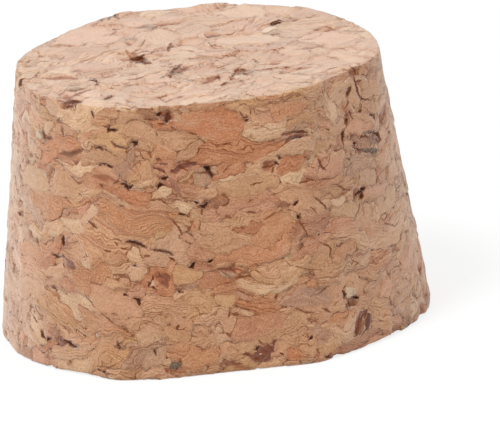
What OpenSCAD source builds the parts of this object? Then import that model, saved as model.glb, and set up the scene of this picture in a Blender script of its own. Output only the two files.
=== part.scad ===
// Stopper cut from pressed cork granules: a short solid taper with worn rims
// and one flat down its front, where the blank was too narrow for the full round.
// It stands on its large end. +Z runs from the large end to the small end.
// Angles go round from the front, which faces -Y, towards +X.

/* [Taper] */
// Diameter of the small end
small_d = 24.4; // [18:0.1:28]
// Diameter of the large end
large_d = 29.1; // [22:0.1:36]
// Height from the large end to the small end
height = 18.5; // [12:0.1:30]
// Depth of the flat down the front
flat_depth = 1; // [0.4:0.1:1.6]
// Direction that the flat faces, in degrees from the front
flat_turn = 4; // [-12:1:20]

/* [Rims] */
// Radius worn on the rim of the small end
small_rim_r = 0.25; // [0.1:0.05:0.8]
// Radius worn on the rim of the large end
large_rim_r = 0.35; // [0.1:0.05:0.8]
// Radius of the scoop that a lost crumb leaves in a rim
chip_r = 0.55; // [0.3:0.05:1]

/* [Pores] */
// Number of pores in the side
side_pores = 54; // [10:1:80]
// Number of pores in each end
end_pores = 20; // [5:1:30]
// Radius of the smallest pore
pore_r_min = 0.22; // [0.15:0.01:0.3]
// Radius of the largest pore
pore_r_max = 0.5; // [0.35:0.01:0.7]
// Number that sets the scatter of the pores and cracks
scatter = 7; // [1:1:99]

/* [Cracks] */
// Number of cracks between granules in the side
side_cracks = 26; // [6:1:40]
// Number of cracks between granules in each end
end_cracks = 12; // [4:1:20]
// Length of the shortest crack
crack_l_min = 1.1; // [0.8:0.1:1.4]
// Length of the longest crack
crack_l_max = 2.6; // [1.8:0.1:3]
// Width of a crack at its middle
crack_w = 0.26; // [0.15:0.01:0.4]
// Steepest lean of a crack in the side, in degrees
crack_lean = 32; // [5:1:60]

/* [Hidden] */
$fn = 64;
golden_turn = 137.508;
// The side narrows by this angle
taper = atan((large_d - small_d) / 2 / height);
// Pores and cracks keep this far from both rims
rim_margin = 1.4;
// A pore's centre stands out of the surface by this share of its radius
pore_lift = 0.25;
// A crack's middle stands out of the surface by this share of its length
crack_lift = 0.22;
// Crumbs lost from the rim of the small end, by angle, and one pore just under it
small_rim_chips = [-81, -48, 152];
rim_pore_angle = -11;
rim_pore_r = 0.36;
// Crumbs lost from the rim of the large end, by angle
large_rim_chips = [58, 75, 196, -128];
// Deepest pore of the small end
deep_pore_place = [-3.8, 1];
deep_pore_r = 0.5;

function side_radius(z) = large_d / 2 - z * tan(taper);
// Distance of the surface from the axis, which is shorter on the flat
function surface_radius(angle, z) =
    let (off = cos(angle - flat_turn), flat_distance = side_radius(z) - flat_depth)
    off > 0 ? min(side_radius(z), flat_distance / off) : side_radius(z);
function spread(i, count, low, high) = low + (i + 0.5) / count * (high - low);
// More of the sizes lie near the low end, as crumbs do
function mostly_small(low, high, draw) = low + (high - low) * draw * draw;

// Places children on the side, with their X along the rim and their Y into the cork
module on_side(angle, z) {
    rotate([0, 0, angle]) translate([0, -surface_radius(angle, z), z]) children();
}

// Lens with pointed ends, flat in XY
module crack(length) {
    ball_r = length * length / (4 * crack_w) + crack_w / 4;
    offset_z = ball_r - crack_w / 2;
    intersection() {
        translate([0, 0, offset_z]) sphere(r = ball_r, $fn = 200);
        translate([0, 0, -offset_z]) sphere(r = ball_r, $fn = 200);
    }
}

// Outline of half the stopper, with both rims rounded by true arcs
module half_outline() {
    large_x = large_d / 2 - large_rim_r * (1 + sin(taper)) / cos(taper);
    small_x = small_d / 2 - small_rim_r * (1 - sin(taper)) / cos(taper);
    polygon([
        [0, 0],
        [large_x, 0],
        [large_x + large_rim_r * cos(taper), large_rim_r * (1 + sin(taper))],
        [small_x + small_rim_r * cos(taper), height - small_rim_r * (1 - sin(taper))],
        [small_x, height],
        [0, height]
    ]);
    translate([large_x, large_rim_r]) circle(r = large_rim_r);
    translate([small_x, height - small_rim_r]) circle(r = small_rim_r);
}

// The taper before any void is cut in it
module blank() {
    difference() {
        rotate_extrude($fn = 128) half_outline();
        // What the flat takes off the front
        rotate([0, 0, flat_turn])
            translate([0, flat_depth - large_d / 2, 0])
            rotate([-taper, 0, 0])
            translate([-large_d / 2, -large_d / 2, -height / 2])
            cube([large_d, large_d / 2, 2 * height]);
    }
}

module side_voids() {
    pore_draws = rands(0, 1, side_pores * 2, scatter);
    for (i = [0 : side_pores - 1]) {
        pore_r = mostly_small(pore_r_min, pore_r_max, pore_draws[2 * i]);
        z = spread(i, side_pores, rim_margin, height - rim_margin);
        on_side(i * golden_turn + 20 * pore_draws[2 * i + 1], z)
            translate([0, -pore_lift * pore_r, 0]) sphere(r = pore_r);
    }
    crack_draws = rands(0, 1, side_cracks * 2, scatter + 1);
    for (i = [0 : side_cracks - 1]) {
        length = mostly_small(crack_l_min, crack_l_max, crack_draws[2 * i]);
        z = spread(i, side_cracks, rim_margin, height - rim_margin);
        on_side(-i * golden_turn, z)
            translate([0, -crack_lift * length, 0])
            rotate([0, crack_lean * (2 * crack_draws[2 * i + 1] - 1), 0])
            crack(length);
    }
}

// Voids of an end that faces +Z, with their mouths at z = 0
module end_voids(end_d, seed) {
    reach = end_d / 2 - rim_margin;
    pore_draws = rands(0, 1, end_pores, seed);
    for (i = [0 : end_pores - 1]) {
        pore_r = mostly_small(pore_r_min, pore_r_max, pore_draws[i]);
        rotate([0, 0, i * golden_turn])
            translate([reach * sqrt((i + 0.5) / end_pores), 0, pore_lift * pore_r])
            sphere(r = pore_r);
    }
    crack_draws = rands(0, 1, end_cracks * 2, seed + 1);
    for (i = [0 : end_cracks - 1]) {
        length = mostly_small(crack_l_min, crack_l_max, crack_draws[2 * i]);
        rotate([0, 0, -i * golden_turn - 60])
            translate([reach * sqrt((i + 0.5) / end_cracks), 0, crack_lift * length])
            rotate([90, 0, 180 * crack_draws[2 * i + 1]])
            crack(length);
    }
}

module rim_chips(angles, rim_r, z) {
    for (angle = angles) {
        rotate([0, 0, angle]) translate([0, -rim_r - chip_r / 3, z]) sphere(r = chip_r);
    }
}

module stopper() {
    color("burlywood")
    difference() {
        blank();
        side_voids();
        translate([0, 0, height]) end_voids(small_d, scatter + 2);
        mirror([0, 0, 1]) end_voids(large_d, scatter + 4);
        rim_chips(small_rim_chips, small_d / 2, height);
        rim_chips(large_rim_chips, large_d / 2, 0);
        on_side(rim_pore_angle, height - 2 * rim_pore_r) sphere(r = rim_pore_r);
        translate([deep_pore_place[0], deep_pore_place[1], height]) sphere(r = deep_pore_r);
    }
}

stopper();
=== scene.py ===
# %% [markdown]
# # A stopper of pressed cork
# The stopper is one short taper, cut from a block of cork crumbs that were glued and pressed
# together. What the eye reads is not the taper but the crumbs, or granules: each has a tone of its
# own, fine growth lines that run its own way, and a seam against its neighbours. Where crumbs
# didn't meet, a small dark void is left. So the crumbs are made as real patches of the mesh, cut
# along their seams, and the material then only has to draw what lies inside one crumb.

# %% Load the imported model
import math
from collections import namedtuple

import bmesh
import bpy
import numpy as np
from mathutils import Matrix, Vector, kdtree


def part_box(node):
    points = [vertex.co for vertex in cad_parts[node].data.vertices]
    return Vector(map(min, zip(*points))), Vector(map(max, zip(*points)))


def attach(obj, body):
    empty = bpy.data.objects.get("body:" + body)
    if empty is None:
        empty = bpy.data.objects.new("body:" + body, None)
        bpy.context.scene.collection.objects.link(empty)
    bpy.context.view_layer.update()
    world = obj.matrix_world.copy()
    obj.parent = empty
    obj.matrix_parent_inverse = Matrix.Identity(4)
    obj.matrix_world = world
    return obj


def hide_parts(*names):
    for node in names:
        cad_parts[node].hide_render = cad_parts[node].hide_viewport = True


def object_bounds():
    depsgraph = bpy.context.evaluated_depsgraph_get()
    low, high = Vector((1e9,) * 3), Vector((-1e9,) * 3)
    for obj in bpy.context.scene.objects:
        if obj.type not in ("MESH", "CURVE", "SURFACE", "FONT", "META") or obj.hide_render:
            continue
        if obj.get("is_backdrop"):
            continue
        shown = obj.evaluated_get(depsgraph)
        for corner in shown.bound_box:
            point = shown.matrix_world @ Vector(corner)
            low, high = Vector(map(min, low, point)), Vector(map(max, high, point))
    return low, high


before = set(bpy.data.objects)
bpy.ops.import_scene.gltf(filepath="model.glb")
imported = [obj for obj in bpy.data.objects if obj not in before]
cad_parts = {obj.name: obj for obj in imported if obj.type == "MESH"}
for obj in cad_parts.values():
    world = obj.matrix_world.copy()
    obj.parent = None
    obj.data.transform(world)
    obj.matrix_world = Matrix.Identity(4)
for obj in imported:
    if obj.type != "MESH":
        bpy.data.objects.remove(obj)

cad_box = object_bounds()
_, stopper_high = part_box("stopper")
print("CAD box in mm:", [round(1000 * (high - low), 2) for low, high in zip(*cad_box)])

# %% [markdown]
# ## Units and helpers
# Cork is worked in millimetres here, because its crumbs, seams and lines are all between a
# hundredth and a few millimetres. The mesh is brought to metres at the very end. Colours are
# written as the usual 0 to 255 numbers and turned into the linear ones that a shader wants.

# %% Units and colours
MM = 0.001
LARGE_R = 14.55
SMALL_R = 12.2
HEIGHT = 1000 * stopper_high[2]
RIM_R = {"small": 0.12, "large": 0.4}
SRGB_KNEE = 0.04045
SRGB_LIFT = 0.055
SRGB_POWER = 2.4
SRGB_SLOPE = 12.92


def linear(red, green, blue):
    """Linear light for an ordinary 0 to 255 colour."""
    shares = np.array([red, green, blue]) / 255
    curved = ((shares + SRGB_LIFT) / (1 + SRGB_LIFT)) ** SRGB_POWER
    return tuple(float(c) for c in np.where(shares > SRGB_KNEE, curved, shares / SRGB_SLOPE))


def paint(red, green, blue):
    """The same colour with a fourth number, which a node's colour socket wants."""
    return (*linear(red, green, blue), 1.0)


print(f"large end {2 * LARGE_R:.1f} mm, small end {2 * SMALL_R:.1f} mm, height {HEIGHT:.1f} mm")

# %% [markdown]
# ## Camera
# A long lens looks down on the stopper at about 16 degrees and is rolled a little, so the stopper
# leans to the left in the frame. Over such a distance nothing gets visibly smaller with depth, and
# an orthographic camera shows just that.

# %% Camera
LOOK_DOWN = math.radians(16.3)
ROLL = math.radians(4.7)
FRAME_PX = (500, 437)
PX_PER_MM = 14.8
BASE_CENTRE_PX = (217.3, 317.8)
CAMERA_DISTANCE = 0.6

level_right = Vector((1, 0, 0))
level_up = Vector((0, math.sin(LOOK_DOWN), math.cos(LOOK_DOWN)))
camera_back = level_right.cross(level_up)
camera_right = math.cos(ROLL) * level_right - math.sin(ROLL) * level_up
camera_up = math.sin(ROLL) * level_right + math.cos(ROLL) * level_up
right_mm = (FRAME_PX[0] / 2 - BASE_CENTRE_PX[0]) / PX_PER_MM
up_mm = (BASE_CENTRE_PX[1] - FRAME_PX[1] / 2) / PX_PER_MM

lens = bpy.data.cameras.new("long_lens")
lens.type = "ORTHO"
lens.ortho_scale = FRAME_PX[0] / PX_PER_MM * MM
camera = bpy.data.objects.new("camera", lens)
bpy.context.collection.objects.link(camera)
aim = MM * (right_mm * camera_right + up_mm * camera_up)
turned = Matrix((camera_right, camera_up, camera_back)).transposed().to_4x4()
camera.matrix_world = Matrix.Translation(aim + CAMERA_DISTANCE * camera_back) @ turned
bpy.context.scene.camera = camera
print("camera sees", round(lens.ortho_scale / MM, 2), "mm across")

# %% [markdown]
# ## The outline from above
# The stopper isn't quite round. A flat runs down its front, where the blank was too narrow for the
# full round, and the knife left a few shallow swells and hollows near the two rims. One function
# tells how far the surface lies from the axis, and everything else asks it.

# %% How far the surface lies from the axis
FLAT_DEPTH = 1.0
FLAT_TURN = 4.0
Swell = namedtuple("Swell", "turn half_width push low_share high_share")
SWELLS = [
    Swell(-29, 7, 0.5, 1.0, 0.0),
    Swell(44, 11, -0.45, 1.0, 0.2),
    Swell(62, 9, -0.2, 1.0, 0.0),
    Swell(-60, 14, 0.2, 0.2, 1.0),
    Swell(-38, 9, 0.15, 0.0, 1.0),
    Swell(52, 9, -0.4, 0.0, 1.0),
    Swell(76, 13, 0.35, 0.0, 1.0),
    Swell(-157, 9, 0.3, 0.0, 1.0),
    Swell(171, 7, 0.3, 0.0, 1.0),
    Swell(122, 16, -0.2, 0.2, 1.0),
    Swell(-118, 12, -0.2, 0.0, 1.0),
    Swell(-95, 20, 0.12, 1.0, 0.2),
    Swell(140, 20, 0.15, 1.0, 0.3),
]
SWELL_FADE = 5.0
FLAT_SOFTNESS = 0.12
LEAST_FACING = 0.2


def radius_at(turn, height):
    """Distance of the surface from the axis at a turn from the front in degrees and a height."""
    turn = np.asarray(turn, float)
    height = np.asarray(height, float)
    taper = LARGE_R + (SMALL_R - LARGE_R) * height / HEIGHT
    facing = np.maximum(np.cos(np.radians(turn - FLAT_TURN)), LEAST_FACING)
    over = taper - (taper - FLAT_DEPTH) / facing
    radius = taper - 0.5 * (over + np.sqrt(over**2 + FLAT_SOFTNESS**2))
    for swell in SWELLS:
        off = (turn - swell.turn + 180) % 360 - 180
        near_low = swell.low_share * np.exp(-height / SWELL_FADE)
        near_high = swell.high_share * np.exp(-(HEIGHT - height) / SWELL_FADE)
        radius = radius + swell.push * np.exp(-((off / swell.half_width) ** 2)) * (near_low + near_high)
    return radius


print("front radius at the base:", round(float(radius_at(FLAT_TURN, 0)), 2), "mm")

# %% [markdown]
# ## The blank
# The blank has the plain outline and a fine even mesh. A spun outline would crowd its faces
# together at the middle of each end, so the blank starts as a cube cut into a grid instead. Each
# square end is then spread into a disc and the four walls into a round side, which keeps every cell
# about the same size. The sharp corner at each rim is replaced by a short curve.

# %% Spread a gridded cube into the taper
CELLS = 106
ON_END = 0.999


def rounded_corner(distance, corner, inward, onward, radius):
    """Points of a profile by their distance past a corner, which is cut short by a curve."""
    before = np.minimum(distance, -radius)[:, None]
    after = np.maximum(distance, radius)[:, None]
    share = np.clip((distance + radius) / (2 * radius), 0, 1)[:, None]
    start = corner - radius * inward
    end = corner + radius * onward
    curve = (1 - share) ** 2 * start + 2 * share * (1 - share) * corner + share**2 * end
    straight = corner + np.where(distance[:, None] < 0, before * inward, after * onward)
    return np.where(np.abs(distance[:, None]) < radius, curve, straight)


def taper_points(cube):
    """Where the points of a cube of side 2 go on the taper, in mm."""
    a, b, c = cube.T
    wide = np.abs(a) >= np.abs(b)
    reach = np.where(wide, np.abs(a), np.abs(b))
    safe_a = np.where(wide & (a != 0), a, 1)
    safe_b = np.where(~wide, b, 1)
    turn = np.where(wide, b / safe_a * math.pi / 4, math.pi / 2 - a / safe_b * math.pi / 4)
    turn = turn + np.where(np.where(wide, a, b) < 0, math.pi, 0)
    slope = math.hypot(LARGE_R - SMALL_R, HEIGHT)
    down = np.array([(LARGE_R - SMALL_R) / slope, -HEIGHT / slope])
    side_run = (1 - c) / 2 * slope
    small_end = rounded_corner(
        np.where(c > ON_END, (reach - 1) * SMALL_R, side_run),
        np.array([SMALL_R, HEIGHT]), np.array([1.0, 0.0]), down, RIM_R["small"],
    )
    large_end = rounded_corner(
        np.where(c < -ON_END, (1 - reach) * LARGE_R, side_run - slope),
        np.array([LARGE_R, 0.0]), down, np.array([-1.0, 0.0]), RIM_R["large"],
    )
    radius, height = np.where((c > 0)[:, None], small_end, large_end).T
    plain_radius = LARGE_R + (SMALL_R - LARGE_R) * height / HEIGHT
    radius = radius * radius_at(np.degrees(turn) + 90, height) / plain_radius
    return np.stack([radius * np.cos(turn), radius * np.sin(turn), height], axis=1)


cork = bmesh.new()
bmesh.ops.create_cube(cork, size=2)
bmesh.ops.subdivide_edges(cork, edges=cork.edges[:], cuts=CELLS - 1, use_grid_fill=True)
blank = taper_points(np.array([v.co[:] for v in cork.verts]))
for vertex, place in zip(cork.verts, blank):
    vertex.co = place
print("blank:", len(cork.verts), "points,", len(cork.faces), "cells")

# %% [markdown]
# ## Tones
# Cork crumbs run from cream to rust, with a few scraps of dark bark. Each tone has a share that
# says how often it turns up among the crumbs that are scattered by chance.

# %% Tones of the crumbs
TONES = {
    "cream": (linear(197, 162, 131), 6),
    "pale": (linear(188, 148, 117), 18),
    "tan": (linear(180, 136, 104), 30),
    "gold": (linear(180, 137, 100), 14),
    "orange": (linear(178, 125, 90), 12),
    "rust": (linear(170, 112, 78), 5),
    "pink": (linear(184, 135, 107), 9),
    "rose": (linear(170, 119, 92), 6),
    "grey": (linear(168, 131, 107), 4),
    "umber": (linear(142, 96, 70), 1.5),
    "plum": (linear(118, 72, 58), 0.6),
    "bark": (linear(98, 52, 40), 0.4),
    "stone": (linear(188, 166, 138), 0.2),
    "slate": (linear(104, 92, 78), 0.1),
    "smoke": (linear(124, 92, 76), 0),
    "void": (linear(84, 46, 30), 0),
}
TONE_NAMES = list(TONES)
SMALL_TONES = ("plum", "bark", "stone", "slate")
shares = np.array([share for _, share in TONES.values()])
shares = shares / shares.sum()
print("tones:", ", ".join(TONE_NAMES))

# %% [markdown]
# ## Crumbs
# A crumb is a flattened egg with its own place, lean and size. Its claim on a point is strongest at
# its middle and falls to nothing at its skin, and a point of the surface belongs to the crumb with
# the strongest claim. Two pressed crumbs then meet in a curved seam halfway between them, as real
# ones do. The crumbs that catch the eye are listed one by one, by their turn round the side from the
# front and their height, or by where they lie on the small end.

# %% What a crumb is
Crumb = namedtuple("Crumb", "middle axes half power strength tone lines bend")
SIDE_LEAN = math.atan2(LARGE_R - SMALL_R, HEIGHT)
BIG_CLAIM = 4.0
VOID_CLAIM = 9.0
LENS_POWER = 1.6


def side_frame(turn, height):
    """A point of the side, in mm, and its three directions: along the rim, up the side, outwards."""
    t = math.radians(turn)
    radius = float(radius_at(turn, height))
    level_out = np.array([math.sin(t), -math.cos(t), 0])
    along = np.array([math.cos(t), math.sin(t), 0])
    up = math.cos(SIDE_LEAN) * np.array([0, 0, 1]) - math.sin(SIDE_LEAN) * level_out
    point = np.append(radius * level_out[:2], height)
    return point, along, up, np.cross(along, up)


def crumb_at(point, along, up, out, size, lean, strength, tone, lines=0.3, bend=0.0):
    """A crumb whose long way leans from along towards up, in degrees."""
    c, s = math.cos(math.radians(lean)), math.sin(math.radians(lean))
    axes = np.array([c * along + s * up, c * up - s * along, out])
    return Crumb(point, axes, np.array(size), LENS_POWER, strength, tone, lines, bend)


def side_crumb(turn, height, long, tall, lean, tone, lines=0.3, bend=0.0):
    deep = max(1.2 * tall, 0.12 * long * long, 0.3)
    claim = VOID_CLAIM if tone == "void" else BIG_CLAIM
    return crumb_at(*side_frame(turn, height), (long, tall, deep), lean, claim, tone, lines, bend)


def end_crumb(x, y, long, tall, lean, tone, lines=0.3, bend=0.0):
    claim = VOID_CLAIM if tone == "void" else BIG_CLAIM
    point = np.array([x, y, HEIGHT])
    axes = (np.array([1.0, 0, 0]), np.array([0, 1.0, 0]), np.array([0, 0, 1.0]))
    return crumb_at(point, *axes, (long, tall, max(tall, 0.3)), lean, claim, tone, lines, bend)


# %% Crumbs placed on the side: turn, height, half length, half height, lean, tone, lines, any bend
SIDE_CRUMBS = [
    (3, 16.85, 2.9, 1.45, -6, "rust", 0.35),
    (-20, 16.95, 2.2, 0.85, -14, "tan", 0.1),
    (-24, 17.95, 2.0, 0.4, -4, "tan", 0.5, 0.05),
    (9.5, 14.85, 4.2, 0.85, 4, "rust", 1.0, -0.03),
    (-12.5, 15.3, 2.0, 0.45, -3, "orange", 0.1),
    (-7.5, 14.3, 1.7, 0.22, -12, "plum", 0.6),
    (-24, 14.65, 1.1, 0.75, 65, "grey", 0.7, 0.1),
    (-18, 14.3, 1.0, 0.6, 70, "tan", 0.4),
    (-27, 16.05, 1.3, 0.45, -14, "gold", 0.1),
    (-19, 13.35, 1.2, 0.32, 10, "cream", 0.1),
    (-9.5, 12.85, 1.9, 0.55, -35, "rose", 0.9, -0.08),
    (-2, 13.15, 1.3, 0.5, -25, "grey", 0.3),
    (-23, 12.55, 2.6, 0.55, -6, "rust", 0.6, -0.04),
    (-22, 10.85, 3.0, 1.5, -14, "orange", 1.0, -0.1),
    (-32.5, 13.95, 1.1, 0.5, 10, "tan", 0.1),
    (-35.5, 12.65, 1.0, 0.45, -8, "gold", 0.1),
    (15, 12.4, 2.7, 0.95, 2, "gold", 0.15),
    (28, 13.65, 2.0, 0.5, 6, "rust", 0.7, 0.05),
    (3, 11.65, 1.7, 0.4, -2, "umber", 0.3),
    (20.5, 16.8, 1.7, 0.45, -4, "pink", 0.2),
    (14, 17.7, 1.2, 0.35, -14, "gold", 0.1),
    (27.5, 17.45, 2.6, 0.7, 14, "orange", 0.6),
    (24.5, 18.05, 2.2, 0.25, 4, "rose", 0.8),
    (31.5, 15.5, 1.4, 0.24, -3, "plum", 0.5),
    (35.5, 16.45, 2.0, 0.5, 8, "gold", 0.3),
    (45.5, 16.95, 0.55, 1.4, 8, "cream", 0.2),
    (33.5, 11.95, 2.5, 0.36, 8, "rose", 0.9),
    (34, 10.55, 1.3, 0.75, -12, "pale", 0.1),
    (42.5, 12.95, 1.5, 0.8, 20, "pink", 0.3),
    (17, 11, 2.2, 0.4, 6, "pink", 0.4),
    (20.5, 9.6, 2.3, 1.0, 12, "orange", 0.3),
    (11.5, 9.55, 1.4, 0.35, -4, "rust", 0.3),
    (4.5, 9.35, 2.1, 0.8, -4, "tan", 0.6),
    (-4, 10.8, 1.1, 0.5, -20, "tan", 0.2),
    (-6.5, 9.3, 1.1, 0.6, 10, "pink", 0.1),
    (15, 7.7, 3.0, 0.55, 4, "orange", 0.6, 0.02),
    (-5.5, 8.3, 2.0, 0.55, -16, "rose", 0.5, -0.06),
    (5.5, 6.7, 0.8, 0.26, -18, "grey", 0.2),
    (13.5, 5.5, 2.1, 0.55, 5, "cream", 1.0, -0.05),
    (11.5, 4.25, 2.0, 0.62, -6, "rust", 1.0, 0.12),
    (14.5, 3, 2.6, 0.8, 8, "rose", 0.25),
    (2, 4.95, 1.2, 0.5, 12, "gold", 0.1),
    (3, 3.55, 1.5, 0.5, -16, "tan", 0.4),
    (27, 4.5, 2.0, 0.85, -4, "grey", 0.2),
    (23.5, 6.25, 1.6, 0.55, 6, "gold", 0.2),
    (30, 8, 2.2, 0.7, 10, "pink", 0.5),
    (41.5, 8.65, 2.4, 0.8, -4, "rose", 0.6),
    (40, 6.75, 2.1, 0.6, 8, "orange", 0.5),
    (42.5, 10.25, 1.2, 0.55, -14, "cream", 0.1),
    (11.5, 1.25, 0.95, 0.42, 6, "plum", 0.4),
    (19, 5.3, 1.0, 0.4, 10, "cream", 0.2),
    (3, 1.65, 1.7, 0.4, -12, "tan", 0.5),
    (-6.5, 1.1, 1.8, 0.85, 4, "orange", 0.35),
    (1, 0.6, 0.9, 0.2, -4, "umber", 0.3),
    (-12, 0.9, 0.2, 0.32, 0, "slate", 0.0),
    (-18, 1.5, 1.0, 0.6, 60, "grey", 0.3),
    (42, 1.8, 1.0, 0.48, 62, "bark", 1.0, 0.2),
    (39.9, 4.2, 0.42, 0.45, 0, "stone", 0.0),
    (25, 1.4, 1.0, 0.75, 20, "tan", 0.9, -0.3),
    (36, 2.4, 1.5, 0.6, 8, "orange", 0.1),
    (32, 1, 1.3, 0.4, 4, "gold", 0.3),
    (-30, 5.3, 2.7, 1.0, -36, "tan", 0.05),
    (-33, 7.45, 1.8, 0.75, 22, "orange", 0.8, 0.12),
    (-36, 4, 2.2, 0.8, -28, "tan", 0.6),
    (-33, 1.9, 2.6, 0.75, 16, "gold", 0.9, 0.1),
    (-20, 3, 0.8, 0.75, 0, "pale", 0.1),
    (-8, 6.8, 1.7, 0.62, -2, "gold", 0.15),
    (-18, 6.35, 0.3, 0.2, 60, "cream", 0.1),
    (-23, 8.3, 1.3, 0.45, -12, "pale", 0.1),
    (-22, 7.2, 1.3, 0.55, 8, "pale", 0.1),
    (-13.5, 5, 2.7, 0.75, -2, "tan", 1.0),
    (-12.5, 3, 1.9, 0.6, -12, "gold", 0.1),
    (-9.5, 3.75, 0.8, 0.4, 10, "tan", 0.1),
    (-54.5, 14.35, 2.1, 0.5, 13, "rust", 0.4),
    (-53.5, 10.95, 2.8, 0.75, 9, "orange", 0.7, -0.03),
    (-44.5, 10.15, 1.1, 0.55, -24, "cream", 0.1),
    (-36.5, 11.25, 0.9, 0.65, 0, "cream", 0.1),
    (-49.5, 6.75, 1.6, 0.85, 10, "pale", 0.15),
    (-55.5, 16.25, 1.7, 0.4, 8, "pale", 0.3),
    (-61, 15.65, 0.5, 0.42, 0, "stone", 0.0),
    (-59.5, 2.55, 0.9, 0.6, -30, "cream", 0.1),
    (-47, 2.1, 0.8, 0.24, -8, "plum", 0.4),
    (-63, 12.65, 2.3, 1.0, 4, "pale", 0.3),
    (-64.5, 5.25, 2.4, 0.9, 2, "pale", 0.2),
    (-47.5, 12.65, 1.9, 0.75, 14, "tan", 0.3),
    (56.5, 14.75, 1.9, 0.7, -10, "pink", 0.1),
    (59.5, 13.35, 1.7, 0.5, -8, "umber", 0.8),
    (61.5, 12.65, 1.3, 0.22, -10, "slate", 0.3),
    (57.5, 11.25, 2.0, 0.7, 4, "tan", 0.3),
    (65.5, 9.05, 2.2, 0.9, 6, "pale", 0.3),
    (52.5, 8.65, 1.5, 0.8, 10, "tan", 0.3),
]

# %% Crumbs placed on the small end: x, y, half length, half width, lean, tone, lines, any bend
END_CRUMBS = [
    (-7.6, 7.0, 3.0, 2.2, 35, "pink", 0.1),
    (-3.0, 7.4, 1.1, 0.9, 0, "grey", 0.3),
    (-4.8, 4.4, 1.3, 0.9, 20, "orange", 0.4),
    (1.2, 5.0, 1.3, 1.1, 0, "orange", 0.5),
    (5.3, 5.4, 0.5, 0.9, 0, "stone", 0.0),
    (-6.4, -1.5, 2.3, 1.3, -5, "rose", 0.9, 0.05),
    (-3.0, -5.2, 1.4, 0.7, 80, "pink", 0.2),
    (-9.3, -0.8, 1.6, 1.0, 10, "cream", 0.2),
    (-8.4, -5.2, 1.2, 1.1, 0, "gold", 0.3),
    (0.5, -10.2, 2.4, 0.9, 3, "cream", 0.05),
    (-5.5, -9.2, 2.0, 0.7, -14, "pale", 0.2),
    (3.4, 3.0, 2.6, 1.8, -10, "pale", 0.2),
    (9.0, 1.5, 2.3, 1.9, 10, "pink", 0.1),
    (7.5, -5.8, 2.2, 1.0, 25, "pale", 0.3),
    (3.0, -4.7, 0.8, 0.6, 60, "plum", 0.5),
    (-1.5, -2.7, 0.8, 0.4, 50, "umber", 0.5),
    (-9.5, 4.2, 1.6, 1.8, 60, "orange", 0.3),
    (-1.0, 2.0, 1.6, 1.2, 0, "pale", 0.2),
    (6.6, -1.2, 1.6, 0.9, -20, "pink", 0.1),
]

crumbs = [side_crumb(*row) for row in SIDE_CRUMBS]
crumbs += [end_crumb(*row) for row in END_CRUMBS]
first_by_chance = len(crumbs)
print(len(crumbs), "crumbs placed by hand")

# %% [markdown]
# ## Filling the mould
# The rest of the surface is filled as a mould is: big crumbs first, then smaller ones into the
# gaps. A bare point of the surface is picked by chance and a crumb is laid over it. Crumbs lie
# mostly flat, because the block was pressed from above. To make the seams wander, a point is
# shifted by a sum of slow waves before any claim on it is worked out.

# %% Waves that make the seams wander
chance = np.random.default_rng(11)


def waves(count, length, height):
    """Directions, phases and pushes of some waves of about this length, all in mm."""
    ways = chance.normal(size=(count, 3))
    ways *= (2 * math.pi / length) / np.linalg.norm(ways, axis=1)[:, None]
    ways *= chance.uniform(0.6, 1.5, size=(count, 1))
    pushes = chance.normal(size=(count, 3)) * height * math.sqrt(2 / count)
    return ways, chance.uniform(0, 2 * math.pi, count), pushes


WAVE_SETS = [waves(10, 5.0, 0.34), waves(14, 1.7, 0.16), waves(16, 0.7, 0.065)]


def wander(points):
    moved = points.copy()
    for ways, phases, pushes in WAVE_SETS:
        moved += np.sin(points @ ways.T + phases) @ pushes
    return moved


crumbs = [crumb._replace(middle=wander(crumb.middle[None])[0]) for crumb in crumbs]

# %% Claims and owners
def claim_of(crumb, points):
    local = np.abs((points - crumb.middle) @ crumb.axes.T / crumb.half)
    return crumb.strength * (1 - (local**crumb.power).sum(axis=1) ** (1 / crumb.power))


GAP_CLAIM = -0.32


class Owners:
    """For each of some points, the crumb with the strongest claim on it."""

    def __init__(self, points):
        self.points = wander(points)
        self.best = np.full(len(points), -1e9)
        self.owner = np.full(len(points), -1)

    def add(self, index, crumb):
        reach = crumb.half.max() * 1.6
        close = np.flatnonzero(((self.points - crumb.middle) ** 2).sum(axis=1) < reach * reach)
        claim = claim_of(crumb, self.points[close])
        won = claim > self.best[close]
        self.best[close[won]] = claim[won]
        self.owner[close[won]] = index

    def settled(self):
        """The owners, with -1 for what no crumb reaches."""
        return np.where(self.best < GAP_CLAIM, -1, self.owner)


# %% Lay crumbs until little is bare
Stage = namedtuple("Stage", "long_from long_to bare_share")
STAGES = [Stage(2.2, 3.4, 0.42), Stage(1.3, 2.2, 0.16), Stage(0.6, 1.2, 0.05)]
MOST_TRIES = 4000
HALF_HEIGHTS = (0.22, 0.42)
HALF_DEPTHS = (0.55, 0.95)
TIP_SPREAD = 15
LONGEST_SMALL = 1.1
LINES_MIDDLE = 0.7
LINES_SPREAD = 0.25
LEAST_LINES = 0.15
POWERS = (1.2, 2.0)
BEND_SPREAD = 0.06

surface = Owners(blank)
for index, crumb in enumerate(crumbs):
    surface.add(index, crumb)


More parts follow.
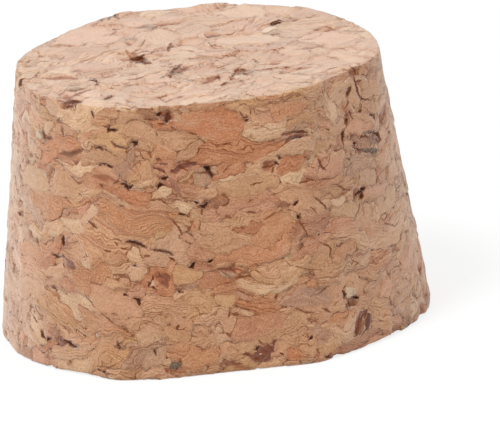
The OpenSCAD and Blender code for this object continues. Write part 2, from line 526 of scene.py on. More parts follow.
def crumb_by_chance(near, stage):
    """A flattened crumb that covers a point of the surface, near enough level."""
    long = chance.uniform(stage.long_from, stage.long_to)
    half = long * np.array([1, chance.uniform(*HALF_HEIGHTS), chance.uniform(*HALF_DEPTHS)])
    turn = chance.uniform(0, 2 * math.pi)
    tip = np.radians(chance.normal(0, TIP_SPREAD, size=2))
    level = np.array([math.cos(turn), math.sin(turn), math.tan(tip[0])])
    level /= np.linalg.norm(level)
    across = np.array([-math.sin(turn), math.cos(turn), math.tan(tip[1])])
    across -= level * (across @ level)
    across /= np.linalg.norm(across)
    axes = np.array([level, np.cross(across, level), across])
    middle = near + (chance.uniform(-0.5, 0.5, 3) * half) @ axes
    tone = TONE_NAMES[chance.choice(len(shares), p=shares)]
    if long > LONGEST_SMALL and tone in SMALL_TONES:
        tone = "tan"
    lines = float(np.clip(chance.normal(LINES_MIDDLE, LINES_SPREAD), LEAST_LINES, 1))
    power = chance.uniform(*POWERS)
    return Crumb(middle, axes, half, power, 1.0, tone, lines, float(chance.normal(0, BEND_SPREAD)))


for stage in STAGES:
    for _ in range(MOST_TRIES):
        bare = np.flatnonzero(surface.best < 0)
        if len(bare) < stage.bare_share * len(blank):
            break
        crumb = crumb_by_chance(surface.points[chance.choice(bare)], stage)
        surface.add(len(crumbs), crumb)
        crumbs.append(crumb)
    print(f"after stage {stage.long_from}: {len(crumbs)} crumbs, {len(bare) / len(blank):.0%} bare")

middles = np.array([c.middle for c in crumbs])
all_axes = np.array([c.axes for c in crumbs])
halves = np.array([c.half for c in crumbs])
strengths = np.array([c.strength for c in crumbs])
powers = np.array([c.power for c in crumbs])
is_void = np.array([c.tone == "void" for c in crumbs] + [True])

# %% [markdown]
# ## Cutting along the seams
# Where the two ends of an edge belong to different crumbs, the seam crosses that edge at the point
# where both claims are equal. A crossing close to a corner moves the corner onto the seam, and any
# other splits the edge. Joining the new points across each cell then draws every seam as a chain of
# real edges, so that a tone or a groove can stop exactly there.

# %% Find where seams cross the edges
SNAP_SHARE = 0.22


def claims_at(points, owners):
    """The claim of one crumb on each point, or the gap's own where the owner is -1."""
    moved = wander(points) - middles[owners]
    local = np.abs(np.einsum("nij,nj->ni", all_axes[owners], moved) / halves[owners])
    power = powers[owners]
    claim = strengths[owners] * (1 - (local ** power[:, None]).sum(axis=1) ** (1 / power))
    return np.where(owners < 0, GAP_CLAIM, claim)


def crossing_shares(ends, owners):
    """How far along each edge the claims of its two owners are equal."""
    lead = [claims_at(p, owners[:, 0]) - claims_at(p, owners[:, 1]) for p in ends]
    return np.clip(lead[0] / np.maximum(lead[0] - lead[1], 1e-6), 0.02, 0.98)


cork.verts.ensure_lookup_table()
owner = surface.settled()
cut_edges = [e for e in cork.edges if owner[e.verts[0].index] != owner[e.verts[1].index]]
pairs = np.array([[v.index for v in e.verts] for e in cut_edges])
share = crossing_shares((blank[pairs[:, 0]], blank[pairs[:, 1]]), owner[pairs])
seam_points = blank[pairs[:, 0]] * (1 - share[:, None]) + blank[pairs[:, 1]] * share[:, None]

on_seam = set()
for (first, second), s, place in zip(pairs, share, seam_points):
    nearest = first if s < 0.5 else second
    if min(s, 1 - s) < SNAP_SHARE and nearest not in on_seam:
        on_seam.add(int(nearest))
        cork.verts[nearest].co = place
print(len(cut_edges), "edges crossed,", len(on_seam), "corners moved onto a seam")

# %% Split the other crossed edges and join the seam points across the cells
first_verts = list(cork.verts)
seam_verts = [first_verts[i] for i in on_seam]
for edge, (first, second), s in zip(cut_edges, pairs, share):
    if first in on_seam or second in on_seam:
        continue
    seam_verts.append(bmesh.utils.edge_split(edge, first_verts[first], float(s))[1])
print(len(seam_verts), "seam points")
bmesh.ops.connect_verts(cork, verts=seam_verts)
bmesh.ops.triangulate(cork, faces=cork.faces[:], quad_method="SHORT_EDGE", ngon_method="BEAUTY")
cork.normal_update()
print("cut cork:", len(cork.verts), "points,", len(cork.faces), "triangles")

# %% [markdown]
# ## Cracks
# Between some crumbs the stopper has cracks and torn holes. Those that catch the eye are drawn as
# lines in the frame and pressed onto whatever the camera sees there, and mirrored onto what it
# doesn't see, so that the back is cracked like the front. Each triangle keeps the nearest piece of
# such a line, as distances along it and across it, and the material draws it sharply from those.

# %% Cracks and torn holes that show: half width and strength, then the line's points in frame pixels
CRACKS = [
    (1.8, 1.0, [(20, 86), (21, 80)]),
    (0.9, 1.0, [(21, 79), (31, 78.5), (36, 76), (39, 72)]),
    (2.3, 1.0, [(132, 60), (138, 59), (143, 56)]),
    (1.3, 1.0, [(143, 58), (142, 62), (146, 64), (150, 63)]),
    (1.0, 0.7, [(126, 50), (128, 55), (132, 60)]),
    (0.6, 0.9, [(140, 52), (149, 52), (159, 51)]),
    (0.8, 0.8, [(140, 48), (143, 44), (146, 37)]),
    (0.9, 0.7, [(136, 28), (152, 27), (163, 29)]),
    (1.5, 0.8, [(168, 49), (171, 44)]),
    (0.6, 0.8, [(180, 51), (184, 50), (193, 51), (196, 54)]),
    (1.7, 0.9, [(181, 65), (178, 68), (174, 70), (171, 73), (170, 77)]),
    (1.0, 0.9, [(178, 68), (182, 70), (186, 69), (189, 67.5)]),
    (1.3, 0.9, [(161, 78), (165, 77)]),
    (0.8, 0.7, [(165, 76), (169, 73.5)]),
    (1.0, 0.6, [(173, 76), (177, 78.5), (181, 78)]),
    (1.1, 0.9, [(185, 79), (190, 80.5), (193, 80)]),
    (0.8, 0.9, [(127, 79.5), (138, 79), (143, 77)]),
    (0.8, 0.8, [(124, 87), (130, 86), (131, 85)]),
    (1.7, 0.9, [(105, 99), (108, 97.5), (113, 96)]),
    (0.8, 0.7, [(64, 92), (66, 89), (70, 86), (80, 85)]),
    (0.9, 0.8, [(64, 98), (71, 97.5), (78, 94), (86, 91), (92, 90)]),
    (2.2, 1.0, [(66, 103), (69, 102), (80, 102)]),
    (1.2, 1.0, [(68, 103), (67.5, 108)]),
    (1.0, 1.0, [(75, 103), (76, 107)]),
    (1.0, 0.6, [(58, 58), (62, 60), (64, 57)]),
    (1.0, 0.7, [(73, 72), (80, 70.5), (84, 72.5)]),
    (0.6, 0.7, [(30, 62.5), (40, 62), (48, 61)]),
    (0.6, 0.6, [(45, 70), (52, 67.5), (60, 63)]),
    (0.6, 0.8, [(90, 78.5), (105, 77.5), (116, 75)]),
    (1.3, 0.9, [(98, 20), (104, 19.5)]),
    (1.6, 0.8, [(108, 20), (110, 17), (112, 15), (118, 18)]),
    (0.9, 0.8, [(113, 29.5), (119, 29)]),
    (1.0, 0.7, [(115, 30), (115.5, 33), (104, 36)]),
    (1.3, 0.8, [(205, 35), (208, 37), (216, 36.5), (220, 35)]),
    (0.9, 0.7, [(224, 35), (233, 34), (235, 32)]),
    (0.9, 0.5, [(222, 11), (228, 9), (236, 7)]),
    (0.8, 0.9, [(209, 43), (213, 48), (222, 50), (229, 51.5)]),
    (1.1, 0.9, [(269, 34), (272, 34.5), (279, 34)]),
    (0.9, 0.8, [(280, 21), (292, 21.5), (299, 20)]),
    (0.6, 0.6, [(262, 44.5), (273, 44.5), (284, 43), (293, 41)]),
    (0.6, 0.7, [(302, 40), (315, 38), (322, 34)]),
    (0.9, 0.8, [(293, 49), (300, 48.5), (310, 48.5), (322, 46)]),
    (1.2, 0.9, [(253, 60), (258, 62.5)]),
    (0.9, 0.7, [(236, 57), (239, 59), (242, 60.5)]),
    (0.8, 0.6, [(270, 57), (274, 53)]),
    (0.9, 0.8, [(345, 31), (357, 31.5), (363, 32)]),
    (1.4, 1.0, [(231, 79), (233, 76), (236, 72), (238, 69)]),
    (0.9, 0.9, [(233, 72), (236, 70), (240, 67)]),
    (1.3, 0.9, [(236, 75), (241, 73), (247, 75)]),
    (1.2, 0.9, [(240, 69), (244, 71), (252, 70)]),
    (0.9, 0.8, [(252, 70), (257, 70.5), (262, 70), (272, 68.5)]),
    (0.8, 0.7, [(249, 73), (253, 71.5)]),
    (1.5, 0.8, [(218.5, 76), (219, 79.5)]),
    (1.4, 0.9, [(222, 85), (226, 83.5)]),
    (0.8, 0.8, [(226, 83.5), (232, 82), (242, 81)]),
    (1.0, 0.9, [(274, 77.5), (280, 78.5)]),
    (0.8, 0.8, [(285, 67), (297, 69), (303, 67), (313, 64), (322, 65)]),
    (0.9, 0.6, [(298, 73), (307, 75)]),
    (0.6, 0.6, [(253, 90), (262, 88), (275, 83), (290, 83), (312, 82)]),
    (1.0, 0.8, [(160, 99), (166, 101.5), (172, 99.5), (184, 96)]),
    (0.6, 0.7, [(201, 84.5), (208, 84.5)]),
    (0.6, 0.6, [(197, 59), (210, 59.5), (214, 55)]),
    (1.2, 1.0, [(350, 66.5), (354, 69.5), (354.5, 71)]),
    (1.1, 0.7, [(355, 71), (355, 78)]),
    (1.2, 1.0, [(353, 76), (354.5, 80), (356, 88), (358, 94), (362, 99), (370, 100.5), (373, 96)]),
    (1.2, 0.9, [(355, 82), (360, 80.5)]),
    (1.9, 0.8, [(350, 88), (348, 92), (347, 96)]),
    (1.0, 0.9, [(347, 96), (347.5, 103), (345, 109)]),
    (0.9, 0.6, [(389, 121), (388, 127), (385, 130)]),
    (1.1, 0.6, [(397, 155), (398.5, 159)]),
    (1.3, 1.0, [(318, 160), (320, 165), (325, 169.5)]),
    (0.9, 0.9, [(300, 183), (310, 180), (320, 180), (330, 178.5), (336, 176.5), (339, 173)]),
    (1.2, 0.8, [(334, 184.5), (340, 186), (345, 190), (352, 190)]),
    (2.4, 1.0, [(356, 194), (361, 191), (363, 188)]),
    (2.0, 1.0, [(361, 193), (361, 199)]),
    (1.0, 0.9, [(361, 199), (363, 208), (363.5, 214)]),
    (0.8, 0.7, [(359, 170), (359, 178), (358, 185)]),
    (0.9, 0.6, [(380, 173), (382, 170)]),
    (2.0, 1.0, [(294, 205), (297, 202)]),
    (1.2, 0.9, [(314, 197), (317, 199), (322, 204), (326, 208), (330, 210)]),
    (0.8, 0.7, [(311, 208), (316, 212)]),
    (2.1, 1.0, [(298, 216), (298.5, 218)]),
    (0.9, 0.8, [(299, 219), (300.5, 223), (306, 232), (307, 237)]),
    (1.1, 0.9, [(330, 256), (330.5, 250), (328, 246), (320, 242)]),
    (0.8, 0.8, [(338, 246.5), (343, 243.5)]),
    (0.7, 0.7, [(324, 240.5), (338, 238.5), (346, 237)]),
    (0.7, 0.7, [(298, 247), (305, 241)]),
    (0.8, 0.7, [(287, 262), (290, 265), (301, 268), (311, 270), (323, 269.5)]),
    (1.0, 0.7, [(383, 202), (386, 196)]),
    (1.1, 0.7, [(384.5, 223), (395, 226), (398, 222)]),
    (1.4, 0.6, [(405, 232), (407, 231)]),
    (1.3, 0.7, [(389, 247), (394, 245)]),
    (1.1, 0.6, [(400, 263), (403, 267)]),
    (0.7, 0.7, [(368, 272), (362, 266), (357, 262), (352, 260)]),
    (0.9, 0.7, [(284, 290), (288, 289), (292, 286)]),
    (0.8, 0.8, [(311, 296), (318, 294), (325, 288), (328, 286)]),
    (0.8, 0.8, [(290, 306), (297, 308), (306, 313), (318, 313.5)]),
    (1.2, 0.9, [(323, 309), (330, 312)]),
    (1.1, 0.6, [(333, 306), (337, 302)]),
    (1.9, 1.0, [(310, 339), (312, 337)]),
    (1.2, 1.0, [(146, 118.5), (152, 120)]),
    (1.9, 1.0, [(157, 115), (160, 113)]),
    (3.4, 0.9, [(168, 114), (167, 121)]),
    (1.0, 0.9, [(159, 124), (165, 124)]),
    (0.9, 0.9, [(172, 127), (174, 129)]),
    (0.9, 0.9, [(189, 132), (196, 134.5)]),
    (0.9, 0.8, [(180, 139), (195, 138.5), (201, 140), (209, 145)]),
    (1.2, 0.9, [(212, 143), (217, 146), (224, 144.5), (231, 143)]),
    (1.5, 1.0, [(245, 121), (248, 119.5)]),
    (0.8, 0.8, [(240, 112), (243, 117)]),
    (1.0, 0.9, [(250, 110), (251, 113)]),
    (0.8, 0.7, [(249, 124), (260, 126), (268, 128)]),
    (0.8, 0.8, [(279, 110), (279.5, 115)]),
    (1.6, 0.6, [(283, 135), (292, 132), (306, 132)]),
    (1.5, 0.6, [(292, 139), (300, 137), (308, 135)]),
    (1.6, 1.0, [(278, 156), (281, 159)]),
    (1.9, 1.0, [(275, 162), (277, 164)]),
    (1.1, 0.9, [(276, 164), (270, 167), (263, 167)]),
    (1.1, 0.9, [(275, 166), (272, 172), (269, 170)]),
    (1.0, 0.8, [(224, 172), (226, 169), (229, 165)]),
    (1.1, 0.8, [(149, 152), (151, 157)]),
    (1.3, 0.9, [(174, 165), (180, 167), (187, 170)]),
    (1.1, 0.9, [(196, 173), (206, 172.5), (210, 169)]),
    (1.9, 1.0, [(162, 179), (167, 177.5)]),
    (0.8, 0.9, [(251, 185), (262, 182)]),
    (0.8, 0.8, [(271, 195), (280, 192.5), (289, 188)]),
    (1.6, 1.0, [(195, 202), (198, 203)]),
    (1.9, 1.0, [(201, 206), (204, 207), (207, 203)]),
    (1.0, 0.8, [(202, 210), (202, 213)]),
    (1.0, 0.9, [(252, 200), (248, 203)]),
    (1.1, 0.8, [(246, 212), (255, 213)]),
    (1.3, 0.7, [(266, 219), (272, 215), (282, 211)]),
    (1.1, 0.9, [(149, 200), (162, 200), (166, 203), (170, 207)]),
    (1.0, 0.9, [(191, 222), (194, 226)]),
    (1.1, 0.9, [(171, 219), (178, 227), (181, 231), (182, 234)]),
    (1.1, 0.8, [(242, 227), (243, 228)]),
    (1.4, 0.9, [(92, 112), (94, 117)]),
    (0.8, 0.8, [(97, 119), (104, 119)]),
    (1.0, 0.8, [(60, 118.5), (58, 121), (64, 124)]),
    (1.3, 0.7, [(63, 127), (63, 131), (64, 136)]),
    (1.6, 1.0, [(108, 132), (109, 130), (117, 130.5)]),
    (0.8, 0.7, [(118, 133), (130, 137), (135, 141)]),
    (2.3, 1.0, [(133, 142), (136, 143), (135, 145)]),
    (1.5, 0.8, [(112, 142), (116, 146), (125, 148.5), (130, 147)]),
    (1.4, 0.9, [(97, 148), (100, 147), (103, 150)]),
    (0.8, 0.8, [(102, 145), (106, 147)]),
    (1.4, 0.7, [(43, 131), (45, 138), (52, 139)]),
    (0.9, 0.7, [(55, 160), (62, 165), (69, 166.5)]),
    (2.6, 0.5, [(62, 154), (72, 155), (82, 150)]),
    (1.3, 0.9, [(27, 161), (29, 164)]),
    (1.0, 0.7, [(35, 154), (38, 157)]),
    (0.9, 0.8, [(120, 175), (119, 180), (114, 184)]),
    (1.3, 0.9, [(100, 183.5), (103, 186)]),
    (0.9, 0.8, [(71, 176), (78, 183), (81, 183), (83, 181)]),
    (1.7, 1.0, [(122, 184), (125, 184), (128, 189), (132, 186)]),
    (0.7, 0.7, [(122, 158), (129, 163), (131, 169), (136, 173)]),
    (1.0, 0.8, [(79, 194), (81, 196)]),
    (1.8, 0.9, [(19, 213), (22, 215)]),
    (1.2, 0.9, [(121, 205), (123, 206)]),
    (1.3, 0.9, [(89, 221), (92, 224), (97, 228)]),
    (1.8, 1.0, [(63.5, 237), (64, 245)]),
    (2.0, 0.9, [(55, 255), (59, 257)]),
    (0.8, 0.9, [(111, 240), (116, 239), (122, 241)]),
    (1.0, 0.9, [(115, 243), (117, 245)]),
    (1.1, 0.9, [(122, 248), (126, 249)]),
    (2.0, 0.9, [(127, 242), (135, 242), (141, 245), (146, 248)]),
    (1.6, 0.8, [(152, 250), (160, 251), (168, 252), (172, 255)]),
    (1.3, 1.0, [(170, 258), (174, 260)]),
    (1.1, 0.9, [(99, 247), (102, 249), (107, 251), (110, 251.5)]),
    (1.2, 0.8, [(145, 256), (149, 256)]),
    (1.0, 0.8, [(85, 252), (87, 256), (83, 258)]),
    (1.4, 1.0, [(134, 266), (136, 266)]),
    (1.0, 0.8, [(130, 282), (131, 284)]),
    (1.3, 0.9, [(197, 308), (198.5, 309)]),
    (1.3, 0.9, [(52, 286), (56, 288)]),
    (0.9, 0.8, [(85, 294), (88, 299), (95, 307), (104, 315), (112, 322), (120, 328), (128, 331)]),
    (1.3, 1.0, [(177, 329), (178, 326)]),
    (1.1, 0.9, [(211, 333), (212, 332)]),
    (1.1, 0.9, [(154, 340), (155, 338)]),
    (1.2, 0.9, [(229, 317), (231, 310)]),
    (1.3, 0.8, [(241, 274), (243, 273)]),
    (1.2, 0.8, [(233, 279), (240, 277), (250, 276)]),
    (1.0, 0.6, [(222, 272), (228, 276), (233, 281)]),
    (1.6, 1.0, [(42, 331), (43, 336), (45, 338)]),
    (0.9, 0.8, [(40, 347), (42, 345)]),
    (1.2, 0.7, [(14, 303), (15, 306)]),
    (1.7, 0.8, [(66, 341), (70, 343), (73, 347), (75, 347)]),
    (0.9, 0.7, [(57, 338), (62, 341)]),
    (1.6, 0.7, [(117, 341), (119, 347), (120, 350)]),
    (0.9, 0.7, [(98, 366), (108, 368), (120, 363), (124, 358)]),
    (1.5, 0.9, [(155, 350), (156, 354)]),
    (0.9, 0.7, [(162, 365), (168, 367)]),
    (1.3, 0.8, [(180, 360), (181, 363)]),
    (1.4, 0.7, [(176, 370), (178, 366)]),
    (1.3, 1.0, [(207, 366), (208, 367)]),
    (1.3, 1.0, [(153.5, 276), (153.5, 279), (152, 280.5)]),
    (0.8, 0.9, [(155, 275), (157.5, 277), (161, 276.5)]),
    (1.4, 1.0, [(151, 282.5), (149.5, 284), (148.5, 286)]),
    (1.1, 1.0, [(151, 287.5), (153, 287), (155, 288), (156.5, 289.5)]),
    (0.8, 0.9, [(156, 286.5), (158, 285.5)]),
    (1.2, 1.0, [(165.5, 269.5), (167, 269)]),
    (0.8, 0.9, [(157.5, 271), (159.5, 273), (160, 275)]),
    (1.2, 0.6, [(166, 274), (169, 276), (170, 278)]),
    (1.0, 0.6, [(166, 280), (168, 283), (167, 287)]),
    (0.8, 0.6, [(161, 284), (163, 283), (164, 287)]),
    (1.5, 1.0, [(179, 290.5), (180, 292.5)]),
    (0.9, 1.0, [(180, 292), (182.5, 292)]),
    (1.0, 0.9, [(169.5, 297), (171, 296.5)]),
    (0.6, 0.5, [(145, 264), (152, 267), (157, 270)]),
    (1.3, 1.0, [(348.5, 110), (350, 113), (350, 116)]),
    (0.9, 1.0, [(350, 115), (352, 118)]),
    (1.6, 1.0, [(346, 118), (346, 122.5)]),
    (1.2, 0.8, [(345, 116), (349, 114.5)]),
    (0.9, 1.0, [(346.5, 124), (345.5, 127), (343.5, 130)]),
    (1.5, 1.0, [(342.8, 132), (342, 137), (342.5, 140)]),
    (0.7, 0.8, [(343, 141), (343.5, 149)]),
    (1.2, 0.8, [(344, 109), (346, 107.5)]),
    (1.5, 0.8, [(357.5, 112), (361, 111)]),
    (1.0, 0.7, [(360, 108), (361, 107)]),
    (0.9, 0.8, [(364.5, 107.5), (367, 109.5), (369, 111.5)]),
    (1.4, 1.0, [(370, 115), (373, 115)]),
    (1.0, 1.0, [(376, 113), (377, 115)]),
    (1.2, 1.0, [(373, 116), (374.5, 119.5)]),
    (1.2, 1.0, [(359.5, 138), (361.5, 136), (364, 135.5), (366, 136.5), (367, 138.5)]),
    (1.4, 0.9, [(369, 133), (372, 132), (374, 134)]),
    (1.5, 0.9, [(374, 134), (377, 133), (378.5, 136)]),
    (1.2, 1.0, [(379, 137), (380, 140), (379, 141)]),
    (0.9, 0.9, [(372, 138), (374, 140)]),
    (0.9, 0.8, [(369, 141), (371, 144), (370, 146)]),
    (0.9, 0.9, [(377, 142), (378, 146), (377.5, 149)]),
    (1.3, 0.8, [(365, 152), (368, 152), (371, 153)]),
    (1.2, 0.8, [(373, 151), (377, 151)]),
    (1.3, 1.0, [(352.5, 146), (355, 148), (358, 149.5), (360, 149)]),
    (0.8, 0.9, [(354.5, 144), (352.5, 147)]),
    (0.9, 0.9, [(361, 144), (360.5, 148)]),
    (0.6, 0.8, [(360, 149), (363, 153)]),
    (0.8, 0.8, [(360, 158), (362, 158)]),
    (0.9, 1.0, [(345.5, 285.5), (343.5, 288)]),
    (1.6, 0.9, [(343, 291), (344.5, 294), (344, 298)]),
    (1.1, 1.0, [(345, 299), (348, 299.5), (351, 298)]),
    (0.6, 0.7, [(350, 286), (353, 290), (354, 294)]),
    (2.3, 1.0, [(353, 297), (357, 297.5)]),
    (1.3, 1.0, [(348, 300), (348.5, 304), (349.5, 306)]),
    (0.9, 0.9, [(346, 303), (347, 307)]),
    (0.6, 0.7, [(349, 309), (348, 315), (345, 318), (340, 318)]),
    (0.9, 0.8, [(352, 283), (353, 286)]),
    (0.8, 0.7, [(364, 294), (368, 292)]),
    (0.9, 0.6, [(367, 301), (367, 304)]),
    (0.9, 0.6, [(389, 303), (392, 305)]),
    (1.0, 1.0, [(363.5, 312), (361.5, 317), (361, 324), (359.5, 330), (356.5, 334), (354.5, 336)]),
    (0.9, 0.9, [(358.5, 319), (357.5, 325), (355.5, 330), (354.5, 334)]),
    (0.8, 0.9, [(363.5, 311.5), (365.5, 311), (367, 313)]),
    (1.1, 0.9, [(361.5, 335), (364, 331), (366, 329)]),
    (1.2, 0.9, [(372.5, 313), (373, 317)]),
    (1.0, 0.7, [(372, 321), (378, 321), (384, 321.5)]),
    (0.6, 0.7, [(360, 342), (367, 341.5), (371, 339), (374, 334), (379, 331), (383, 330.5)]),
    (1.6, 1.0, [(259, 347), (256, 350)]),
    (1.2, 0.9, [(243.5, 354.5), (246, 353), (249, 355)]),
    (1.1, 0.8, [(255, 359), (261, 359.5)]),
    (0.9, 0.8, [(259, 341), (262, 343)]),
    (0.9, 0.8, [(268, 345), (271, 348), (273, 351)]),
    (1.2, 0.8, [(264, 352), (267, 352)]),
    (1.2, 1.0, [(281, 353), (282.5, 354)]),
    (0.9, 0.9, [(271.5, 343.5), (274.5, 341.5)]),
    (0.8, 0.8, [(235, 363.5), (242, 364)]),
    (0.9, 0.9, [(24, 153), (27, 157), (29, 162)]),
    (1.0, 0.9, [(31, 312), (35, 318), (39, 324)]),
    (0.8, 0.8, [(36, 306), (38, 312), (43, 316)]),
    (1.4, 1.0, [(134, 59), (139, 60.5), (144, 58)]),
    (1.6, 1.0, [(143, 59), (143, 62), (147, 63.5), (151, 63)]),
]

# %% Torn and stained spots, two of them painted shade: half width, strength and tone, then the middle line in frame pixels
SPOTS = [
    (3.4, 0.6, "bark", [(133, 59), (141, 60.5), (149, 62.5)]),
    (3.8, 0.75, "plum", [(163, 276), (168, 279)]),
    (3.2, 0.7, "plum", [(163, 282), (167, 286)]),
    (2.0, 0.5, "plum", [(157, 277), (161, 275)]),
    (5.0, 0.65, "smoke", [(371, 138), (376, 141)]),
    (2.0, 0.8, "slate", [(364, 133), (372, 132), (379, 136)]),
    (3.2, 0.95, "slate", [(366, 151), (371, 151), (376, 150.5)]),
    (2.4, 0.5, "plum", [(366, 156), (377, 155)]),
    (4.2, 0.7, "plum", [(260, 350), (267, 352)]),
    (3.0, 0.6, "plum", [(252, 356), (262, 358)]),
    (2.4, 0.6, "plum", [(261, 343), (269, 346), (273, 351)]),
    (2.0, 0.75, "plum", [(244, 354), (251, 354.5)]),
    (1.7, 1.0, "cream", [(260.3, 354), (260.8, 354)]),
    (2.6, 0.45, "plum", [(225, 364), (233, 363)]),
    (3.4, 0.95, "bark", [(369, 315), (368, 322), (367, 328)]),
    (2.2, 0.7, "plum", [(364, 322), (361, 333)]),
    # Painted shadow: the grey-brown shade below the pale stone crumb.
    (2.0, 0.6, "umber", [(351, 301), (355, 301)]),
    (1.6, 0.9, "plum", [(160, 163.5), (166, 164)]),
    (3.0, 0.5, "plum", [(171, 181), (175, 186), (180, 194)]),
    (1.9, 0.5, "plum", [(176, 163), (190, 167)]),
    (2.2, 0.6, "umber", [(285, 134), (294, 132), (306, 133)]),
    (2.0, 0.3, "slate", [(222, 271), (228, 276), (234, 281)]),
    (5.5, 0.55, "umber", [(62, 157), (70, 156), (78, 152)]),
    (2.0, 0.7, "umber", [(62, 127), (63, 133)]),
    (2.6, 0.6, "slate", [(41, 132), (45, 139)]),
    (2.4, 0.7, "stone", [(37, 130), (39, 135)]),
    (2.4, 0.6, "umber", [(236, 71), (244, 73)]),
    # Painted shade: the grey shading inside the torn spot on the small end.
    (2.2, 0.45, "slate", [(174, 75), (182, 73)]),
    (2.6, 0.5, "rust", [(206, 33), (217, 34)]),
    (3.4, 0.35, "rust", [(80, 71), (96, 72), (112, 74)]),
    (3.0, 0.4, "slate", [(143, 27), (156, 27)]),
    (2.6, 0.35, "rust", [(268, 60), (290, 58)]),
    (2.2, 0.5, "slate", [(67, 90), (82, 89)]),
    (3.2, 0.5, "umber", [(132, 142), (137, 144)]),
    (1.6, 0.5, "umber", [(118, 243), (131, 244)]),
    (2.4, 0.8, "umber", [(346.5, 112), (347.5, 118), (346.5, 126)]),
    (1.8, 0.7, "umber", [(343, 130), (342.5, 142)]),
    (1.8, 0.7, "umber", [(368, 112), (373, 116)]),
    (1.9, 0.6, "plum", [(131, 242), (141, 245)]),
]

# %% Pieces of the cracks and spots
WIDE_PX = 1.35
CRACK_MARGINS_PX = (1.6, 0.6)
Piece = namedtuple("Piece", "start way length half_width strength before whole")


def pieces_of(half_width, strength, line):
    """The straight pieces of a crack, each with how far along the crack it starts."""
    line = np.array(line, float)
    ways = np.diff(line, axis=0)
    lengths = np.linalg.norm(ways, axis=1)
    starts = np.append(0, np.cumsum(lengths))
    return [Piece(*row) for row in zip(line, ways / lengths[:, None], lengths, [half_width] * len(ways),
                                       [strength] * len(ways), starts, [starts[-1]] * len(ways))]


def in_frame(places, normals):
    """Frame pixels of points in mm, mirrored for those that face away from the camera."""
    right = PX_PER_MM * places @ np.array(camera_right)
    right = np.where(normals @ np.array(camera_back) > 0, right, -right)
    up = PX_PER_MM * places @ np.array(camera_up)
    return np.stack([BASE_CENTRE_PX[0] + right, BASE_CENTRE_PX[1] - up], axis=1)


def off_piece(spots, piece):
    """Distances of frame points along a piece from its middle, and across it."""
    away = spots - piece.start
    along = away @ piece.way - piece.length / 2
    return along, away @ np.array([-piece.way[1], piece.way[0]])


def past_edge(spots, piece):
    """How far outside a piece's own width frame points lie, in pixels."""
    along, across = off_piece(spots, piece)
    return np.hypot(np.maximum(np.abs(along) - piece.length / 2, 0), across) - piece.half_width


crack_pieces = [piece for crack in CRACKS for piece in pieces_of(*crack)]
wide_pieces = [piece for piece in crack_pieces if piece.half_width > WIDE_PX]


def toned_pieces(rows):
    """The pieces of all rows in one list, and the tone of each."""
    pieces = [(piece, TONES[tone][0]) for half_width, strength, tone, line in rows
              for piece in pieces_of(half_width, strength, line)]
    return [piece for piece, _ in pieces], np.array([tone for _, tone in pieces])


spot_pieces, spot_tones = toned_pieces(SPOTS)
print(len(CRACKS), "cracks and", len(SPOTS), "spots")

# %% Split the edges near wide cracks, so that these can be pressed in
for margin in CRACK_MARGINS_PX:
    vert_normals = np.array([v.normal[:] for v in cork.verts])
    spots = in_frame(np.array([v.co[:] for v in cork.verts]), vert_normals)
    close = np.zeros(len(spots), bool)
    for piece in wide_pieces:
        close |= past_edge(spots, piece) < margin
    close &= vert_normals @ np.array(camera_back) > 0
    cork.verts.index_update()
    crack_edges = [e for e in cork.edges if close[e.verts[0].index] and close[e.verts[1].index]]
    bmesh.ops.subdivide_edges(cork, edges=crack_edges, cuts=1)
    bmesh.ops.triangulate(cork, faces=cork.faces[:])
    cork.normal_update()
    print(len(crack_edges), "edges split:", len(cork.faces), "triangles")

# %% Give each void points of its own inside
def owners_of(faces):
    """The owner of each face, judged at its middle."""
    judged = Owners(np.array([face.calc_center_median()[:] for face in faces]))
    for index, crumb in enumerate(crumbs):
        judged.add(index, crumb)
    return judged.settled()


for face, face_owner in zip(cork.faces, owners_of(cork.faces)):
    face.material_index = int(is_void[face_owner])
inner_edges = [e for e in cork.edges if all(face.material_index for face in e.link_faces)]
bmesh.ops.subdivide_edges(cork, edges=inner_edges, cuts=1)
bmesh.ops.triangulate(cork, faces=cork.faces[:])
for face in cork.faces:
    face.material_index = 0
print(len(inner_edges), "edges split inside voids:", len(cork.faces), "triangles")

# %% [markdown]
# ## Relief
# The knife and the sander leave the crumbs almost level: each stands a few hundredths of a
# millimetre above or below its neighbours and dips at its seams, while a void is a real pit. So
# every point is moved along the surface's normal by an amount that depends on its distance to the
# nearest seam.

# %% Who owns each triangle
body = bpy.data.meshes.new("cork_stopper")
cork.to_mesh(body)
triangle_count = len(body.polygons)
points = np.empty(len(body.vertices) * 3, np.float32)
body.vertices.foreach_get("co", points)
points = points.reshape(-1, 3).astype(float)
corners = np.empty(triangle_count * 3, np.int32)
body.polygons.foreach_get("vertices", corners)
triangles = corners.reshape(-1, 3)

face_owner = owners_of(cork.faces)
cork.free()
print("voids take", f"{is_void[face_owner].mean():.1%}", "of the triangles")

# %% How far each point lies from a seam, and a mark for each pair of neighbours
MARK_COUNT = 9973
MARK_SHAPE = (0.8, 1.5)
LOW_STEP = 7919
HIGH_STEP = 104729
lowest_owner = np.full(len(points), 10**6)
highest_owner = np.full(len(points), -10)
np.minimum.at(lowest_owner, corners, np.repeat(face_owner, 3))
np.maximum.at(highest_owner, corners, np.repeat(face_owner, 3))
at_seam = lowest_owner != highest_owner

sides = np.concatenate([triangles[:, [0, 1]], triangles[:, [1, 2]], triangles[:, [2, 0]]])
side_owner = np.tile(face_owner, 3)
sides.sort(axis=1)
order = np.lexsort((sides[:, 1], sides[:, 0]))
sides, side_owner = sides[order], side_owner[order]
twins = np.flatnonzero((sides[:-1] == sides[1:]).all(axis=1))
seam_edges = sides[twins[side_owner[twins] != side_owner[twins + 1]]]
pair_low = np.minimum(side_owner[twins], side_owner[twins + 1])
pair_high = np.maximum(side_owner[twins], side_owner[twins + 1])
parted = pair_low != pair_high
pair_number = (pair_low * LOW_STEP + pair_high * HIGH_STEP)[parted] % MARK_COUNT

